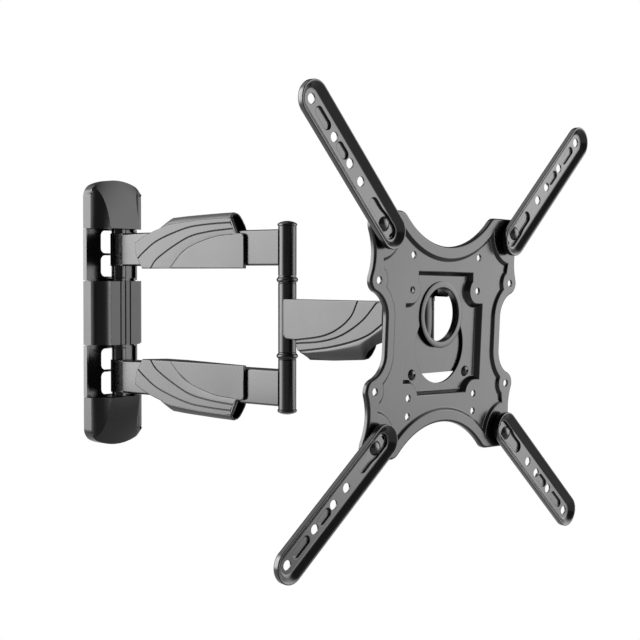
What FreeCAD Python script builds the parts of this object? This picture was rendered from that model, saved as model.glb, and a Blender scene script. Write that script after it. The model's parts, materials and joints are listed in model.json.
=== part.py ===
import FreeCAD, Part
import math
import os
import Sketcher

# Full motion TV wall mount, in millimetres. Origin at the centre of the wall plate's back face,
# +Z up, wall plane at Y = 0, the room towards -Y. Each moving assembly is drawn in its own frame
# and placed by that frame: a hinge or swivel axis at the frame's origin, its arm along -Y.

doc = FreeCAD.newDocument("tv_wall_mount")
dim = doc.addObject("Spreadsheet::Sheet", "dim")

SIZES = {
    # wall bracket
    "base_half_width": 38.6,
    "base_half_height": 156,
    "base_step": 2.6,
    "base_depth": 6.3,
    "base_gauge": 2.5,
    "crown_radius": 77,
    "base_corner": 10,
    "slot_low": 38,
    "slot_high": 99.6,
    "window_half_width": 14,
    "window_bridge": 69.5,
    "bridge_half": 1.3,
    "window_corner": 6,
    "lag_hole": 4.25,
    "lag_slot_half": 6,
    "lag_round_height": 112,
    "lag_slot_height": 136,
    # wall hinge
    "hinge_depth": 18.5,
    "hinge_tube_radius": 8.7,
    "hinge_bore": 7,
    "hinge_pin_radius": 5,
    "bush_play": 0.05,
    "ear_gauge": 3,
    "ear_low": 37.9,
    "ear_high": 100,
    "ear_nose": 8.2,
    "flange_gauge": 1,
    "joint_gap": 0.1,
    # wall covers
    "cover_wall": 2.2,
    "cover_side_depth": 14,
    "cover_face_depth": 30.7,
    "cover_face_half": 21.9,
    "centre_cover_half": 37.5,
    "groove_pitch": 7.2,
    "groove_width": 1.8,
    "groove_depth": 1.2,
    # double arm
    "arm_length": 266.3,
    "bar_half_thick": 10,
    "bar_low": 55.4,
    "bar_high": 93.9,
    "bar_wall": 2,
    "bar_edge": 2.5,
    "column_radius": 9.76,
    "column_bore": 7.8,
    "column_top": 97.4,
    "barrel_half": 36.4,
    "ring_height": 8,
    "ring_radius": 11.6,
    "elbow_bolt_radius": 4,
    "sleeve_length": 12,
    "cap_rim": 10.5,
    "cap_rise": 5.4,
    "panel_lateral": 14,
    "panel_back": 10.15,
    "panel_skin": 2.1,
    # fore arm
    "fore_length": 181.55,
    "beam_half_height": 20,
    "swivel_radius": 12,
    "swivel_bore": 8,
    # swivel yoke
    "yoke_inner": 12.4,
    "yoke_outer": 15.4,
    "yoke_web_angle": 32,
    "yoke_ear_low": 20.9,
    "yoke_ear_high": 24.4,
    "lug_height": 43.5,
    "lug_half_depth": 8,
    "tilt_height": 36,
    # tilt head
    "washer_gauge": 0.8,
    "cheek_inner": 16.4,
    "cheek_gauge": 2.5,
    "cheek_half": 9,
    "head_gauge": 3,
    "head_gap": 0.2,
    "head_half_width": 48,
    "head_top": 53,
    "head_cut": -36.7,
    "head_bottom": -46,
    "collar_rise": 18.5,
    "collar_bore": 25.5,
    "collar_neck": 28,
    "collar_flange": 31.6,
    "collar_gauge": 1.4,
    "lock_x": 40.5,
    "lock_y": -37,
    # tv plate, in its own frame: x across, y up, z out of the face
    "face_offset": 31.2,
    "plate_rise": 26.6,
    "sheet": 2.5,
    "rim_rise": 2.5,
    "rim_return": 3,
    "recess_depth": 5.3,
    "pivot_pitch": 100,
    "top_arc_centre": 171.4,
    "top_arc_radius": 88.4,
    "rim_band": 12.5,
    "corner_flat": 13.5,
    "shoulder_radius": 14,
    "ear_pitch": 50,
    "tab_radius": 11.3,
    "waist_half": 87,
    "keyhole_low_radius": 36,
    "keyhole_low_y": -10.5,
    "keyhole_high_radius": 29,
    # extension arms
    "stud_reach": 141.4,
    "arm_radius": 16,
    "arm_heel": 9,
    "arm_gauge": 1.8,
    "arm_floor": 5.4,
    "arm_rim": 12.2,
    "seat_floor": 3.1,
    "seat_radius": 11,
    "seat_reach": 30,
    "arm_hole": 4.4,
    "pivot_radius": 4,
}

for row, (alias, value) in enumerate(SIZES.items(), 1):
    dim.set(f"A{row}", alias)
    dim.set(f"B{row}", str(value))
    dim.setAlias(f"B{row}", alias)
doc.recompute()

# The rest pose: each angle turns an assembly about its own joint, in degrees.
DOUBLE_ARM_YAW = 1.76
FORE_ARM_YAW = -2.845
HEAD_YAW = -1.645
TILT = 1.8
ROLL = -1.1
UPPER_ARM_ANGLE = 44.5
LOWER_ARM_ANGLE = 39.5

X_AXIS = FreeCAD.Vector(1, 0, 0)
Y_AXIS = FreeCAD.Vector(0, 1, 0)
Z_AXIS = FreeCAD.Vector(0, 0, 1)


def num(expression):
    """The value of an expression of sheet cells, each written as dim.name."""
    return float(dim.evalExpression(str(expression)))


def vec(x, y, z=0):
    return FreeCAD.Vector(num(x), num(y), num(z))


def frame(origin, axis=Z_AXIS, angle=0):
    return FreeCAD.Placement(origin, FreeCAD.Rotation(axis, angle))


# ---------------------------------------------------------------- frames of the moving assemblies

WALL = frame(vec(0, 0, 0))
ARM = frame(vec(0, "-dim.hinge_depth", 0), Z_AXIS, DOUBLE_ARM_YAW)
elbow = ARM.multVec(vec(0, "-dim.arm_length", 0))
FORE = frame(elbow, Z_AXIS, FORE_ARM_YAW)
swivel_axis = FORE.multVec(vec(0, "-dim.fore_length", 0))
HEAD = frame(swivel_axis, Z_AXIS, HEAD_YAW)
TILTED = HEAD * frame(vec(0, 0, "-dim.tilt_height")) * frame(vec(0, 0, 0), X_AXIS, TILT)
LEVEL = TILTED * frame(vec(0, "-dim.face_offset", "dim.plate_rise"))
collar = vec(0, 0, "dim.collar_rise")
PLATE = LEVEL * frame(collar) * frame(vec(0, 0, 0), Y_AXIS, -ROLL) * frame(collar * -1)


def arm_frame(side, rise, angle):
    """An extension arm's frame on the TV plate: origin at its pivot, its length along +X."""
    pivot = frame(vec(f"{side} * dim.pivot_pitch", 0, f"{rise} * dim.pivot_pitch"))
    heading = angle if side > 0 else 180 - angle
    return PLATE * pivot * frame(vec(0, 0, 0), Y_AXIS, -heading * rise)


# ---------------------------------------------------------------- helpers

nodes = []


def keep(obj, label, place):
    """Name a finished object as a node and put it in its assembly's frame."""
    obj.Label = label
    obj.Placement = place
    nodes.append(obj)
    return obj


def cylinder(radius, height, base=(0, 0, 0), axis=Z_AXIS):
    obj = doc.addObject("Part::Cylinder", "cylinder")
    obj.setExpression("Radius", str(radius))
    obj.setExpression("Height", str(height))
    obj.Placement = FreeCAD.Placement(vec(*base), FreeCAD.Rotation(Z_AXIS, axis))
    return obj


def box(length, width, height, centre):
    """A box of this size about its centre."""
    obj = doc.addObject("Part::Box", "box")
    obj.setExpression("Length", str(length))
    obj.setExpression("Width", str(width))
    obj.setExpression("Height", str(height))
    obj.Placement.Base = vec(*centre) - vec(length, width, height) * 0.5
    return obj


def hexagon(across_flats, height, base, axis=Z_AXIS):
    obj = doc.addObject("Part::Prism", "hexagon")
    obj.Polygon = 6
    obj.setExpression("Circumradius", f"({across_flats}) / sqrt(3)")
    obj.setExpression("Height", str(height))
    obj.Placement = FreeCAD.Placement(vec(*base), FreeCAD.Rotation(Z_AXIS, axis))
    return obj


def fuse(*shapes):
    obj = doc.addObject("Part::MultiFuse", "fuse")
    obj.Shapes = list(shapes)
    obj.Refine = True
    return obj


def cut(base, *tools):
    obj = doc.addObject("Part::Cut", "cut")
    obj.Base = base
    obj.Tool = tools[0] if len(tools) == 1 else fuse(*tools)
    obj.Refine = True
    return obj


def common(*shapes):
    obj = doc.addObject("Part::MultiCommon", "common")
    obj.Shapes = list(shapes)
    return obj


def group(*shapes):
    """Identical loose pieces kept together in one node."""
    obj = doc.addObject("Part::Compound", "group")
    obj.Links = list(shapes)
    return obj


def solid(shape):
    obj = doc.addObject("Part::Feature", "solid")
    obj.Shape = shape
    return obj


def tube(outer, inner, height, base, axis=Z_AXIS):
    return cut(cylinder(outer, height, base, axis), cylinder(inner, height, base, axis))


def both_ends(make):
    """The same piece above and below the middle plane: make(side) with side +1 and -1."""
    return group(make(1), make(-1))


def body(name):
    return doc.addObject("PartDesign::Body", name)


def sketch(owner, plane, offset=0):
    """An empty sketch on one of the body's own origin planes, moved along its normal."""
    obj = owner.newObject("Sketcher::SketchObject", "sketch")
    support = next(f for f in owner.Origin.OriginFeatures if f.Role == plane)
    obj.AttachmentSupport = [(support, "")]
    obj.MapMode = "FlatFace"
    obj.AttachmentOffset = frame(vec(0, 0, offset))
    return obj


def bind(target, kind, expression, *geometry):
    index = target.addConstraint(Sketcher.Constraint(kind, *geometry, num(expression)))
    target.setExpression(f"Constraints[{index}]", str(expression))


def circle(target, x, y, radius):
    """A circle whose centre and radius follow the sheet."""
    shape = Part.Circle(vec(x, y), Z_AXIS, num(radius))
    index = target.addGeometry(shape, False)
    bind(target, "Radius", radius, index)
    bind(target, "DistanceX", x, -1, 1, index, 3)
    bind(target, "DistanceY", y, -1, 1, index, 3)


def edge_between(*points):
    """A straight edge for two points, an arc through the middle one for three."""
    return Part.LineSegment(*points) if len(points) == 2 else Part.Arc(*points)


def outline(target, path):
    """Draw a closed path of straight and round edges, each a tuple of its points."""
    for points in path:
        target.addGeometry(edge_between(*points), False)


def face_of(path, to_space):
    """A flat face bounded by a closed path, carried into space by to_space(point)."""
    edges = [edge_between(*[to_space(p) for p in points]).toShape() for points in path]
    return Part.Face(Part.Wire(edges))


def polygon(points):
    """A closed path of straight edges through these points."""
    return list(zip(points, points[1:] + points[:1]))


def mirrored(path, x=1, y=1):
    """The path reflected across one or both axes, still running end to end."""
    turned = [tuple(FreeCAD.Vector(p.x * x, p.y * y, 0) for p in e) for e in path]
    if x * y < 0:
        turned = [tuple(reversed(e)) for e in reversed(turned)]
    return turned


def four_ways(quarter):
    """Close a quarter path that runs from the +y axis to the +x axis."""
    lower = mirrored(quarter, 1, -1)
    left = mirrored(lower, -1, 1)
    return quarter + lower + left + mirrored(quarter, -1, 1)


def pad(owner, profile, length, backwards=False):
    obj = owner.newObject("PartDesign::Pad", "pad")
    obj.Profile = profile
    obj.setExpression("Length", str(length))
    obj.Reversed = backwards
    return obj


def pocket(owner, profile, depth, forwards=True):
    """A pocket along the sketch's normal, or against it."""
    obj = owner.newObject("PartDesign::Pocket", "pocket")
    obj.Profile = profile
    obj.setExpression("Length", str(depth))
    obj.Reversed = forwards
    return obj


def round_edges(owner, base, radius, wanted):
    """Fillet the edges that wanted(edge) picks from a feature of a body."""
    doc.recompute()
    names = [f"Edge{i}" for i, e in enumerate(base.Shape.Edges, 1) if wanted(e)]
    obj = owner.newObject("PartDesign::Fillet", "fillet")
    obj.Base = (base, names)
    obj.setExpression("Radius", str(radius))
    return obj


def along(edge, axis):
    """True for a straight edge that runs along this axis."""
    return isinstance(edge.Curve, Part.Line) and abs(edge.Curve.Direction.dot(axis)) > 0.999


def arc_point(centre, radius, degrees):
    turn = math.radians(degrees)
    return centre + FreeCAD.Vector(math.cos(turn), math.sin(turn), 0) * radius


def touch(centre_a, radius_a, centre_b, radius_b):
    """The point where two outwardly tangent circles meet."""
    return centre_a + (centre_b - centre_a) * (radius_a / (radius_a + radius_b))


def crossing(centre_a, radius_a, centre_b, radius_b, side):
    """Where two circles cross; side +1 takes the crossing left of the line from a to b."""
    line = centre_b - centre_a
    gap = line.Length
    step = (gap * gap + radius_a * radius_a - radius_b * radius_b) / (2 * gap)
    rise = math.sqrt(radius_a * radius_a - step * step)
    unit = line / gap
    return centre_a + unit * step + FreeCAD.Vector(-unit.y, unit.x, 0) * rise * side


def arc_about(centre, start, end):
    """An arc edge from start to end, the short way about its centre."""
    radius = (start - centre).Length
    middle = ((start - centre) + (end - centre)).normalize() * radius
    return (start, centre + middle, end)


# ---------------------------------------------------------------- wall plate: a pressed steel tray


def base_path(inset):
    """The tray's outline: crowned ends, and wider where the two arm slots leave it bare."""
    narrow = num("dim.base_half_width - dim.base_step") - inset
    wide = num("dim.base_half_width") - inset
    low = num("dim.slot_low") + 0.5 + inset
    high = num("dim.slot_high") - 0.5 - inset
    top = num("dim.base_half_height") - 2.6 - inset
    radius = num("dim.crown_radius")
    clip = num("dim.base_corner")
    corner_turn = math.asin((narrow - clip) / radius)

    def crown(turn):
        return FreeCAD.Vector(radius * math.sin(turn), top - radius * (1 - math.cos(turn)), 0)

    corner = crown(corner_turn)
    below = vec(narrow, corner.y - clip)
    wing = [vec(narrow, high), vec(wide, high), vec(wide, low), vec(narrow, low)]
    steps = [corner, below, *wing, vec(narrow, 0)]
    return four_ways([(crown(0), crown(corner_turn / 2), corner)] + list(zip(steps, steps[1:])))


wall_plate = body("wall_plate")
tray = sketch(wall_plate, "XZ_Plane")
outline(tray, base_path(0))
pad(wall_plate, tray, "dim.base_depth")
inside = sketch(wall_plate, "XZ_Plane", "dim.base_gauge")
outline(inside, base_path(num("dim.base_gauge")))
pocket(wall_plate, inside, "dim.base_depth")
WINDOWS = (
    ("dim.slot_low + 5", "dim.window_bridge - dim.bridge_half"),
    ("dim.window_bridge + dim.bridge_half", "dim.slot_high - 2"),
)
openings = sketch(wall_plate, "XZ_Plane", -1)
for side in (1, -1):
    for low, high in WINDOWS:
        half = num("dim.window_half_width")
        corners = [
            vec(-half, f"{side} * ({low})"),
            vec(half, f"{side} * ({low})"),
            vec(half, f"{side} * ({high})"),
            vec(-half, f"{side} * ({high})"),
        ]
        outline(openings, polygon(corners))
for height in ("dim.lag_round_height", "-dim.lag_round_height"):
    circle(openings, 0, height, "dim.lag_hole")
windows = pocket(wall_plate, openings, "dim.base_gauge + 2")
lag_slots = sketch(wall_plate, "XZ_Plane", -1)
for side in (1, -1):
    radius = num("dim.lag_hole")
    top = vec(0, f"{side} * dim.lag_slot_height + dim.lag_slot_half")
    bottom = vec(0, f"{side} * dim.lag_slot_height - dim.lag_slot_half")
    across = vec(radius, 0)
    outline(
        lag_slots,
        [
            (bottom + across, top + across),
            (top + across, top + vec(0, radius), top - across),
            (top - across, bottom - across),
            (bottom - across, bottom - vec(0, radius), bottom + across),
        ],
    )
slots = pocket(wall_plate, lag_slots, "dim.base_gauge + 2")
window_heights = [num(height) for window in WINDOWS for height in window]


def is_window_corner(edge):
    if not along(edge, Y_AXIS):
        return False
    point = edge.Vertexes[0].Point
    across = abs(abs(point.x) - num("dim.window_half_width")) < 0.01
    return across and min(abs(abs(point.z) - z) for z in window_heights) < 0.01


round_edges(wall_plate, slots, "dim.window_corner", is_window_corner)
keep(wall_plate, "wall_plate", WALL)


# ---------------------------------------------------------------- wall hinge: ears, pins and clips


def hinge_ear(low):
    """One welded ear: a flat tongue with a round nose about the hinge pin."""
    centre = (0, "-dim.hinge_depth", low)
    root = "dim.hinge_depth - dim.base_gauge"
    middle = (0, f"-dim.hinge_depth + ({root}) / 2", f"{low} + dim.ear_gauge / 2")
    tongue = box("2 * dim.ear_nose", root, "dim.ear_gauge", middle)
    nose = cylinder("dim.ear_nose", "dim.ear_gauge", centre)
    return cut(fuse(tongue, nose), cylinder("dim.hinge_pin_radius", "dim.ear_gauge", centre))


ears = [
    hinge_ear(low)
    for low in (
        "dim.ear_low",
        "dim.ear_high",
        "-dim.ear_low - dim.ear_gauge",
        "-dim.ear_high - dim.ear_gauge",
    )
]
keep(group(*ears), "hinge_ears", WALL)


def hinge_pin(side):
    """A headed pin through both ears, its head at the centre and a clip groove at the far end."""
    length = "dim.ear_high + dim.ear_gauge + 2.5 - dim.ear_low"
    low = "dim.ear_low" if side > 0 else f"-dim.ear_low - ({length})"
    shank = cylinder("dim.hinge_pin_radius", length, (0, "-dim.hinge_depth", low))
    head_low = "dim.ear_low - 3.5" if side > 0 else "-dim.ear_low"
    head = cylinder("dim.hinge_pin_radius + 3", 3.5, (0, "-dim.hinge_depth", head_low))
    groove_low = "dim.ear_high + dim.ear_gauge + 0.2" if side > 0 else "-dim.ear_high - dim.ear_gauge - 1.3"
    groove_base = (0, "-dim.hinge_depth", groove_low)
    groove = tube("dim.hinge_pin_radius + 1", "dim.hinge_pin_radius - 0.8", 1.1, groove_base)
    return cut(fuse(shank, head), groove)


keep(both_ends(hinge_pin), "hinge_pins", WALL)


def pin_clip(side):
    """A spring steel E-clip in the pin's groove, open towards the wall."""
    low = "dim.ear_high + dim.ear_gauge + 0.25" if side > 0 else "-dim.ear_high - dim.ear_gauge - 1.25"
    ring = tube("dim.hinge_pin_radius + 2", "dim.hinge_pin_radius - 0.8", 1, (0, "-dim.hinge_depth", low))
    mouth = box(6, 8, 2, (0, "-dim.hinge_depth + 6.5", f"{low} + 0.5"))
    return cut(ring, mouth)


keep(both_ends(pin_clip), "hinge_pin_clips", WALL)


# ---------------------------------------------------------------- wall covers: moulded plastic shells


def cove_path(inset):
    """The covers' section across the wall: straight sides, concave coves and a raised face."""
    half = num("dim.base_half_width") - inset
    face = num("dim.cover_face_depth") - inset
    corner = vec("dim.base_half_width", "dim.cover_face_depth")
    radius = num("dim.cover_face_depth - dim.cover_side_depth") + inset
    side_depth = corner.y - math.sqrt(radius ** 2 - inset ** 2)
    face_half = corner.x - math.sqrt(radius ** 2 - inset ** 2)
    start = FreeCAD.Vector(half, side_depth, 0)
    end = FreeCAD.Vector(face_half, face, 0)
    right = [(vec(half, 0), start), arc_about(corner, start, end)]
    top = [(end, FreeCAD.Vector(-face_half, face, 0))]
    left = mirrored(right, -1, 1)
    return right + top + left + [(vec(-half, 0), vec(half, 0))]


def cove_block(inset, low, high):
    """The cove section run from one height to another."""
    face = face_of(cove_path(inset), lambda p: FreeCAD.Vector(p.x, -p.y, low))
    return face.extrude(FreeCAD.Vector(0, 0, high - low))


def centre_shell():
    half = num("dim.centre_cover_half")
    wall = num("dim.cover_wall")
    shell = cove_block(0, -half, half).cut(cove_block(wall, -half + wall, half - wall))
    depth = num("dim.cover_face_depth")
    width = num("dim.groove_width")
    for step in (-1, 0, 1):
        corner = FreeCAD.Vector(num("dim.groove_pitch") * step - width / 2, -depth, -half)
        shell = shell.cut(Part.makeBox(width, num("dim.groove_depth"), 2 * half, corner))
    step = num("dim.base_half_width - dim.base_step") + 0.2
    tray_depth = num("dim.base_depth") + 0.3
    tray_room = Part.makeBox(2 * step, tray_depth, 3 * half, FreeCAD.Vector(-step, -tray_depth, -1.5 * half))
    shell = shell.cut(tray_room)
    notch = num("dim.ear_nose") + 0.6
    slot_depth = num("dim.hinge_depth")
    for side in (1, -1):
        low = half - 2 * wall if side > 0 else -half - wall
        slot = Part.makeBox(2 * notch, slot_depth, 3 * wall, FreeCAD.Vector(-notch, -slot_depth, low))
        bore = Part.makeCylinder(notch, 3 * wall, FreeCAD.Vector(0, -slot_depth, low))
        shell = shell.cut(slot.fuse(bore))
    return shell


keep(solid(centre_shell()), "wall_cover_centre", WALL)


def end_block(inset):
    """An end cover's envelope: the cove section, a face that slopes away, and a crowned end."""
    low = num("dim.slot_high")
    high = num("dim.base_half_height") + 1
    block = cove_block(inset, low, high)
    face_depth = num("dim.cover_face_depth") - inset
    knee = FreeCAD.Vector(num("dim.slot_high + 29"), num("dim.cover_face_depth") - 11.6 - inset, 0)
    tip = FreeCAD.Vector(high, num("dim.cover_side_depth") - 0.6 - inset, 0)
    side = [
        (FreeCAD.Vector(low, 0, 0), FreeCAD.Vector(high, 0, 0)),
        (FreeCAD.Vector(high, 0, 0), tip),
        (tip, knee, FreeCAD.Vector(low, face_depth, 0)),
        (FreeCAD.Vector(low, face_depth, 0), FreeCAD.Vector(low, 0, 0)),
    ]
    half = num("dim.base_half_width") - inset
    profile = face_of(side, lambda p: FreeCAD.Vector(-half, -p.y, p.x))
    wedge = profile.extrude(FreeCAD.Vector(2 * half, 0, 0))
    radius = num("dim.crown_radius")
    top = num("dim.base_half_height") - inset
    disc_start = FreeCAD.Vector(0, face_depth, top - radius)
    disc = Part.makeCylinder(radius, 3 * face_depth, disc_start, Y_AXIS * -1)
    block = block.common(wedge).common(disc)
    upright = [e for e in block.Edges if along(e, Y_AXIS) and e.CenterOfMass.z > low + 20]
    corners = [e for e in upright if abs(abs(e.CenterOfMass.x) - half) < 0.01]
    return block.makeFillet(num("dim.base_corner") - inset, corners)


def end_shell(side):
    shell = end_block(0).cut(end_block(num("dim.cover_wall")))
    if side > 0:
        return shell
    return shell.mirror(FreeCAD.Vector(0, 0, 0), Z_AXIS)


keep(solid(end_shell(1)), "wall_cover_top", WALL)
keep(solid(end_shell(-1)), "wall_cover_bottom", WALL)


# ---------------------------------------------------------------- double arm: hinge tubes and bars


def hinge_tube(side):
    height = "dim.ear_high - dim.ear_low - dim.ear_gauge - 2 * (dim.flange_gauge + dim.joint_gap)"
    gap = "dim.ear_low + dim.ear_gauge + dim.flange_gauge + dim.joint_gap"
    low = gap if side > 0 else f"-({gap}) - ({height})"
    return tube("dim.hinge_tube_radius", "dim.hinge_bore", height, (0, 0, low))


keep(hinge_tube(1), "upper_hinge_tube", ARM)
keep(hinge_tube(-1), "lower_hinge_tube", ARM)


def flanged_bush(bore, outer, flange, gauge, length, base, up):
    """A nylon bush: a sleeve inside the tube and a flange against the tube's end face."""
    sleeve_low = base if up > 0 else f"{base} - ({length})"
    flange_low = f"{base} - {gauge}" if up > 0 else base
    sleeve = cylinder(outer, length, (0, 0, sleeve_low))
    rim = cylinder(flange, gauge, (0, 0, flange_low))
    hole = cylinder(bore, f"{length} + {gauge}", (0, 0, flange_low if up > 0 else sleeve_low))
    return cut(fuse(sleeve, rim), hole)


def hinge_bush(side, up):
    near = "dim.ear_low + dim.ear_gauge + dim.flange_gauge + dim.joint_gap"
    far = "dim.ear_high - dim.flange_gauge - dim.joint_gap"
    end = near if side * up > 0 else far
    return flanged_bush(
        "dim.hinge_pin_radius + dim.bush_play",
        "dim.hinge_bore",
        "dim.hinge_tube_radius",
        "dim.flange_gauge",
        15,
        f"{side} * ({end})",
        up,
    )


hinge_bushes = [hinge_bush(side, up) for side in (1, -1) for up in (1, -1)]
keep(group(*hinge_bushes), "hinge_bushes", ARM)


def box_section(low, high, length, start, label, place, holes):
    """A rectangular steel tube along -Y, coped round the tubes it is welded to."""
    owner = body(label)
    section = sketch(owner, "XZ_Plane", start)
    thick = num("dim.bar_half_thick")
    corners = [vec(-thick, low), vec(thick, low), vec(thick, high), vec(-thick, high)]
    outline(section, polygon(corners))
    block = pad(owner, section, length)
    rounded = round_edges(owner, block, "dim.bar_edge", lambda e: along(e, Y_AXIS))
    bore = sketch(owner, "XZ_Plane", start)
    wall = num("dim.bar_wall")
    shrink = [vec(-wall, wall), vec(wall, wall), vec(wall, -wall), vec(-wall, -wall)]
    inner = [vec(c.x - math.copysign(wall, c.x), c.y + s.y) for c, s in zip(corners, shrink)]
    outline(bore, polygon(inner))
    pocket(owner, bore, length)
    for centre, radius in holes:
        cope = sketch(owner, "XY_Plane", low)
        circle(cope, 0, centre, radius)
        pocket(owner, cope, f"({high}) - ({low})")
    return keep(owner, label, place)


bar_copes = [(0, "dim.hinge_tube_radius"), ("-dim.arm_length", "dim.column_radius")]
BAR = ("dim.arm_length - 5.5", 1.2)
box_section("dim.bar_low", "dim.bar_high", *BAR, "upper_bar", ARM, bar_copes)
box_section("-dim.bar_high", "-dim.bar_low", *BAR, "lower_bar", ARM, bar_copes)


# ---------------------------------------------------------------- elbow column

COLUMN = (0, "-dim.arm_length")


def column_tube(side):
    height = "dim.column_top - dim.barrel_half - dim.ring_height - dim.joint_gap"
    start = "dim.barrel_half + dim.ring_height + dim.joint_gap"
    low = start if side > 0 else "-dim.column_top"
    return tube("dim.column_radius", "dim.column_bore", height, (*COLUMN, low))


keep(column_tube(1), "upper_column_tube", ARM)
keep(column_tube(-1), "lower_column_tube", ARM)


def column_sleeve(low):
    return tube("dim.column_bore", "dim.elbow_bolt_radius", "dim.sleeve_length", (*COLUMN, low))


sleeve_lows = ("dim.barrel_half + dim.ring_height + 1.6", "dim.column_top - 9.4 - dim.sleeve_length")
sleeves = [column_sleeve(low) for low in sleeve_lows]
sleeves += [column_sleeve(f"-({low}) - dim.sleeve_length") for low in sleeve_lows]
keep(group(*sleeves), "column_sleeves", ARM)

bolt_top = "dim.column_top - 9.4"
elbow_shank = cylinder("dim.elbow_bolt_radius", f"2 * ({bolt_top}) + 7", (*COLUMN, f"-({bolt_top}) - 7"))
elbow_head = hexagon(13, 5.3, (*COLUMN, bolt_top))
keep(fuse(elbow_shank, elbow_head), "elbow_bolt", ARM)
elbow_nut = hexagon(13, 6.5, (*COLUMN, f"-({bolt_top}) - 6.5"))
elbow_nut_bore = cylinder("dim.elbow_bolt_radius", 6.5, (*COLUMN, f"-({bolt_top}) - 6.5"))
keep(cut(elbow_nut, elbow_nut_bore), "elbow_nut", ARM)


def column_cap(side):
    """A domed plastic plug: a rim on the tube's end, a low dome above it and a skirt inside."""
    rim = num("dim.cap_rim")
    rise = num("dim.cap_rise")
    lip = 2.4
    crown = rise - lip
    radius = (rim ** 2 + crown ** 2) / (2 * crown)

    def on_column(height):
        return vec(0, "-dim.arm_length", f"dim.column_top + {height}")

    ball = Part.makeSphere(radius, on_column(rise - radius))
    dome = ball.common(Part.makeCylinder(rim, crown, on_column(lip)))
    plug = Part.makeCylinder(rim, lip, on_column(0)).fuse(dome)
    skirt_length = 2
    skirt = Part.makeCylinder(num("dim.column_bore"), skirt_length, on_column(-skirt_length))
    hollow = Part.makeCylinder(num("dim.column_bore") - 1.5, skirt_length + 1, on_column(-skirt_length))
    plug = plug.fuse(skirt).cut(hollow).removeSplitter()
    return plug if side > 0 else plug.mirror(FreeCAD.Vector(0, 0, 0), Z_AXIS)


keep(solid(column_cap(1)), "column_cap_top", ARM)
keep(solid(column_cap(-1)), "column_cap_bottom", ARM)


# ---------------------------------------------------------------- cable covers of the arms


def arch_section(at, foot, crease, ridge, far):
    """One station of a cable tunnel: a band over the bar, outer edge out and inner edge back."""
    side = num("dim.panel_lateral")
    skin = num("dim.panel_skin")
    shoulder = (far - 6, (ridge + crease) / 2)
    outer = [(-side, foot), (-side, crease), (-side + 5, ridge), (-side + 11, ridge), shoulder, (far, foot)]
    inner = [
        (far - skin, foot),
        (shoulder[0] - skin / 2, shoulder[1] - skin),
        (-side + 11, ridge - skin),
        (-side + 5 + skin / 2, ridge - skin),
        (-side + skin, crease - skin / 2),
        (-side + skin, foot),
    ]
    return Part.makePolygon([FreeCAD.Vector(x, -at, z) for x, z in outer + inner + outer[:1]])


def cable_tunnel(stations, foot, far):
    """The ruled shell through a row of stations, each (distance along, crease, ridge)."""
    wires = [arch_section(at, foot, crease, ridge, far) for at, crease, ridge in stations]
    return Part.makeLoft(wires, True, True)


def side_panel(path):
    """The flat side of a cable cover, hollow behind its skin."""
    side = num("dim.panel_lateral")
    back = num("dim.panel_back")
    face = face_of(path, lambda p: FreeCAD.Vector(-side, -p.x, p.y))
    return face.extrude(FreeCAD.Vector(side - back, 0, 0))


def upper_bar_shell():
    foot = num("dim.bar_high") + 0.3
    lower = num("dim.bar_low") - 3.1
    oblique_end = [(89, 98.2, 100.6), (98, 101, 105)]
    stations = [*oblique_end, (103, 102.4, 109.6), (150, 106, 112), (197.3, 107.4, 113.4)]
    tunnel = cable_tunnel(stations, foot, 11)
    panel = side_panel(
        [
            (vec(55, lower), vec(216.2, lower)),
            (vec(216.2, lower), vec(216.2, 86.4)),
            (vec(216.2, 86.4), vec(215, 89.4), vec(212, 90.6)),
            (vec(212, 90.6), vec(205.2, 90.6)),
            (vec(205.2, 90.6), vec(197.3, 107.4)),
            (vec(197.3, 107.4), vec(103, 102.2), vec(43, 82.6)),
            (vec(43, 82.6), vec(45, 68), vec(55, lower)),
        ]
    )
    hollow = Part.makeBox(2, 140, 27, FreeCAD.Vector(-num("dim.panel_back") - 1.8, -208, 57.5))
    bar_room = Part.makeBox(20.2, 300, 45, FreeCAD.Vector(-10.1, -290, num("dim.bar_high") - 44.9))
    web = Part.makeBox(26, 156, 2.1, FreeCAD.Vector(-14, -216, lower))
    return panel.cut(hollow).fuse(tunnel).cut(bar_room).fuse(web).removeSplitter()


upper_shell = upper_bar_shell()
keep(solid(upper_shell), "upper_bar_cover", ARM)
keep(solid(upper_shell.mirror(FreeCAD.Vector(0, 0, 0), Z_AXIS)), "lower_bar_cover", ARM)


# ---------------------------------------------------------------- fore arm

barrel_low = (0, 0, "-dim.barrel_half")
elbow_barrel = tube("dim.column_radius", "dim.column_bore", "2 * dim.barrel_half", barrel_low)
keep(elbow_barrel, "elbow_barrel", FORE)


def elbow_ring(side):
    """A plastic bead washer between the barrel and a column tube."""
    height = num("dim.ring_height") - num("dim.joint_gap")
    bulge = num("dim.ring_radius") - num("dim.column_radius")
    middle = num("dim.barrel_half") + height / 2
    core = Part.makeCylinder(num("dim.column_radius"), height, FreeCAD.Vector(0, 0, middle - height / 2))
    bead = Part.makeTorus(num("dim.column_radius") - 1, bulge + 1, FreeCAD.Vector(0, 0, middle))
    bore_start = FreeCAD.Vector(0, 0, middle - height)
    bore = Part.makeCylinder(num("dim.elbow_bolt_radius + dim.bush_play"), 2 * height, bore_start)
    ring = core.fuse(bead).cut(bore).removeSplitter()
    return solid(ring if side > 0 else ring.mirror(FreeCAD.Vector(0, 0, 0), Z_AXIS))


keep(both_ends(elbow_ring), "elbow_rings", FORE)


def elbow_bush(side):
    low = "dim.barrel_half - 18" if side > 0 else "-dim.barrel_half"
    return tube("dim.column_bore", "dim.elbow_bolt_radius + dim.bush_play", 18, (0, 0, low))


keep(both_ends(elbow_bush), "elbow_bushes", FORE)

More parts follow.
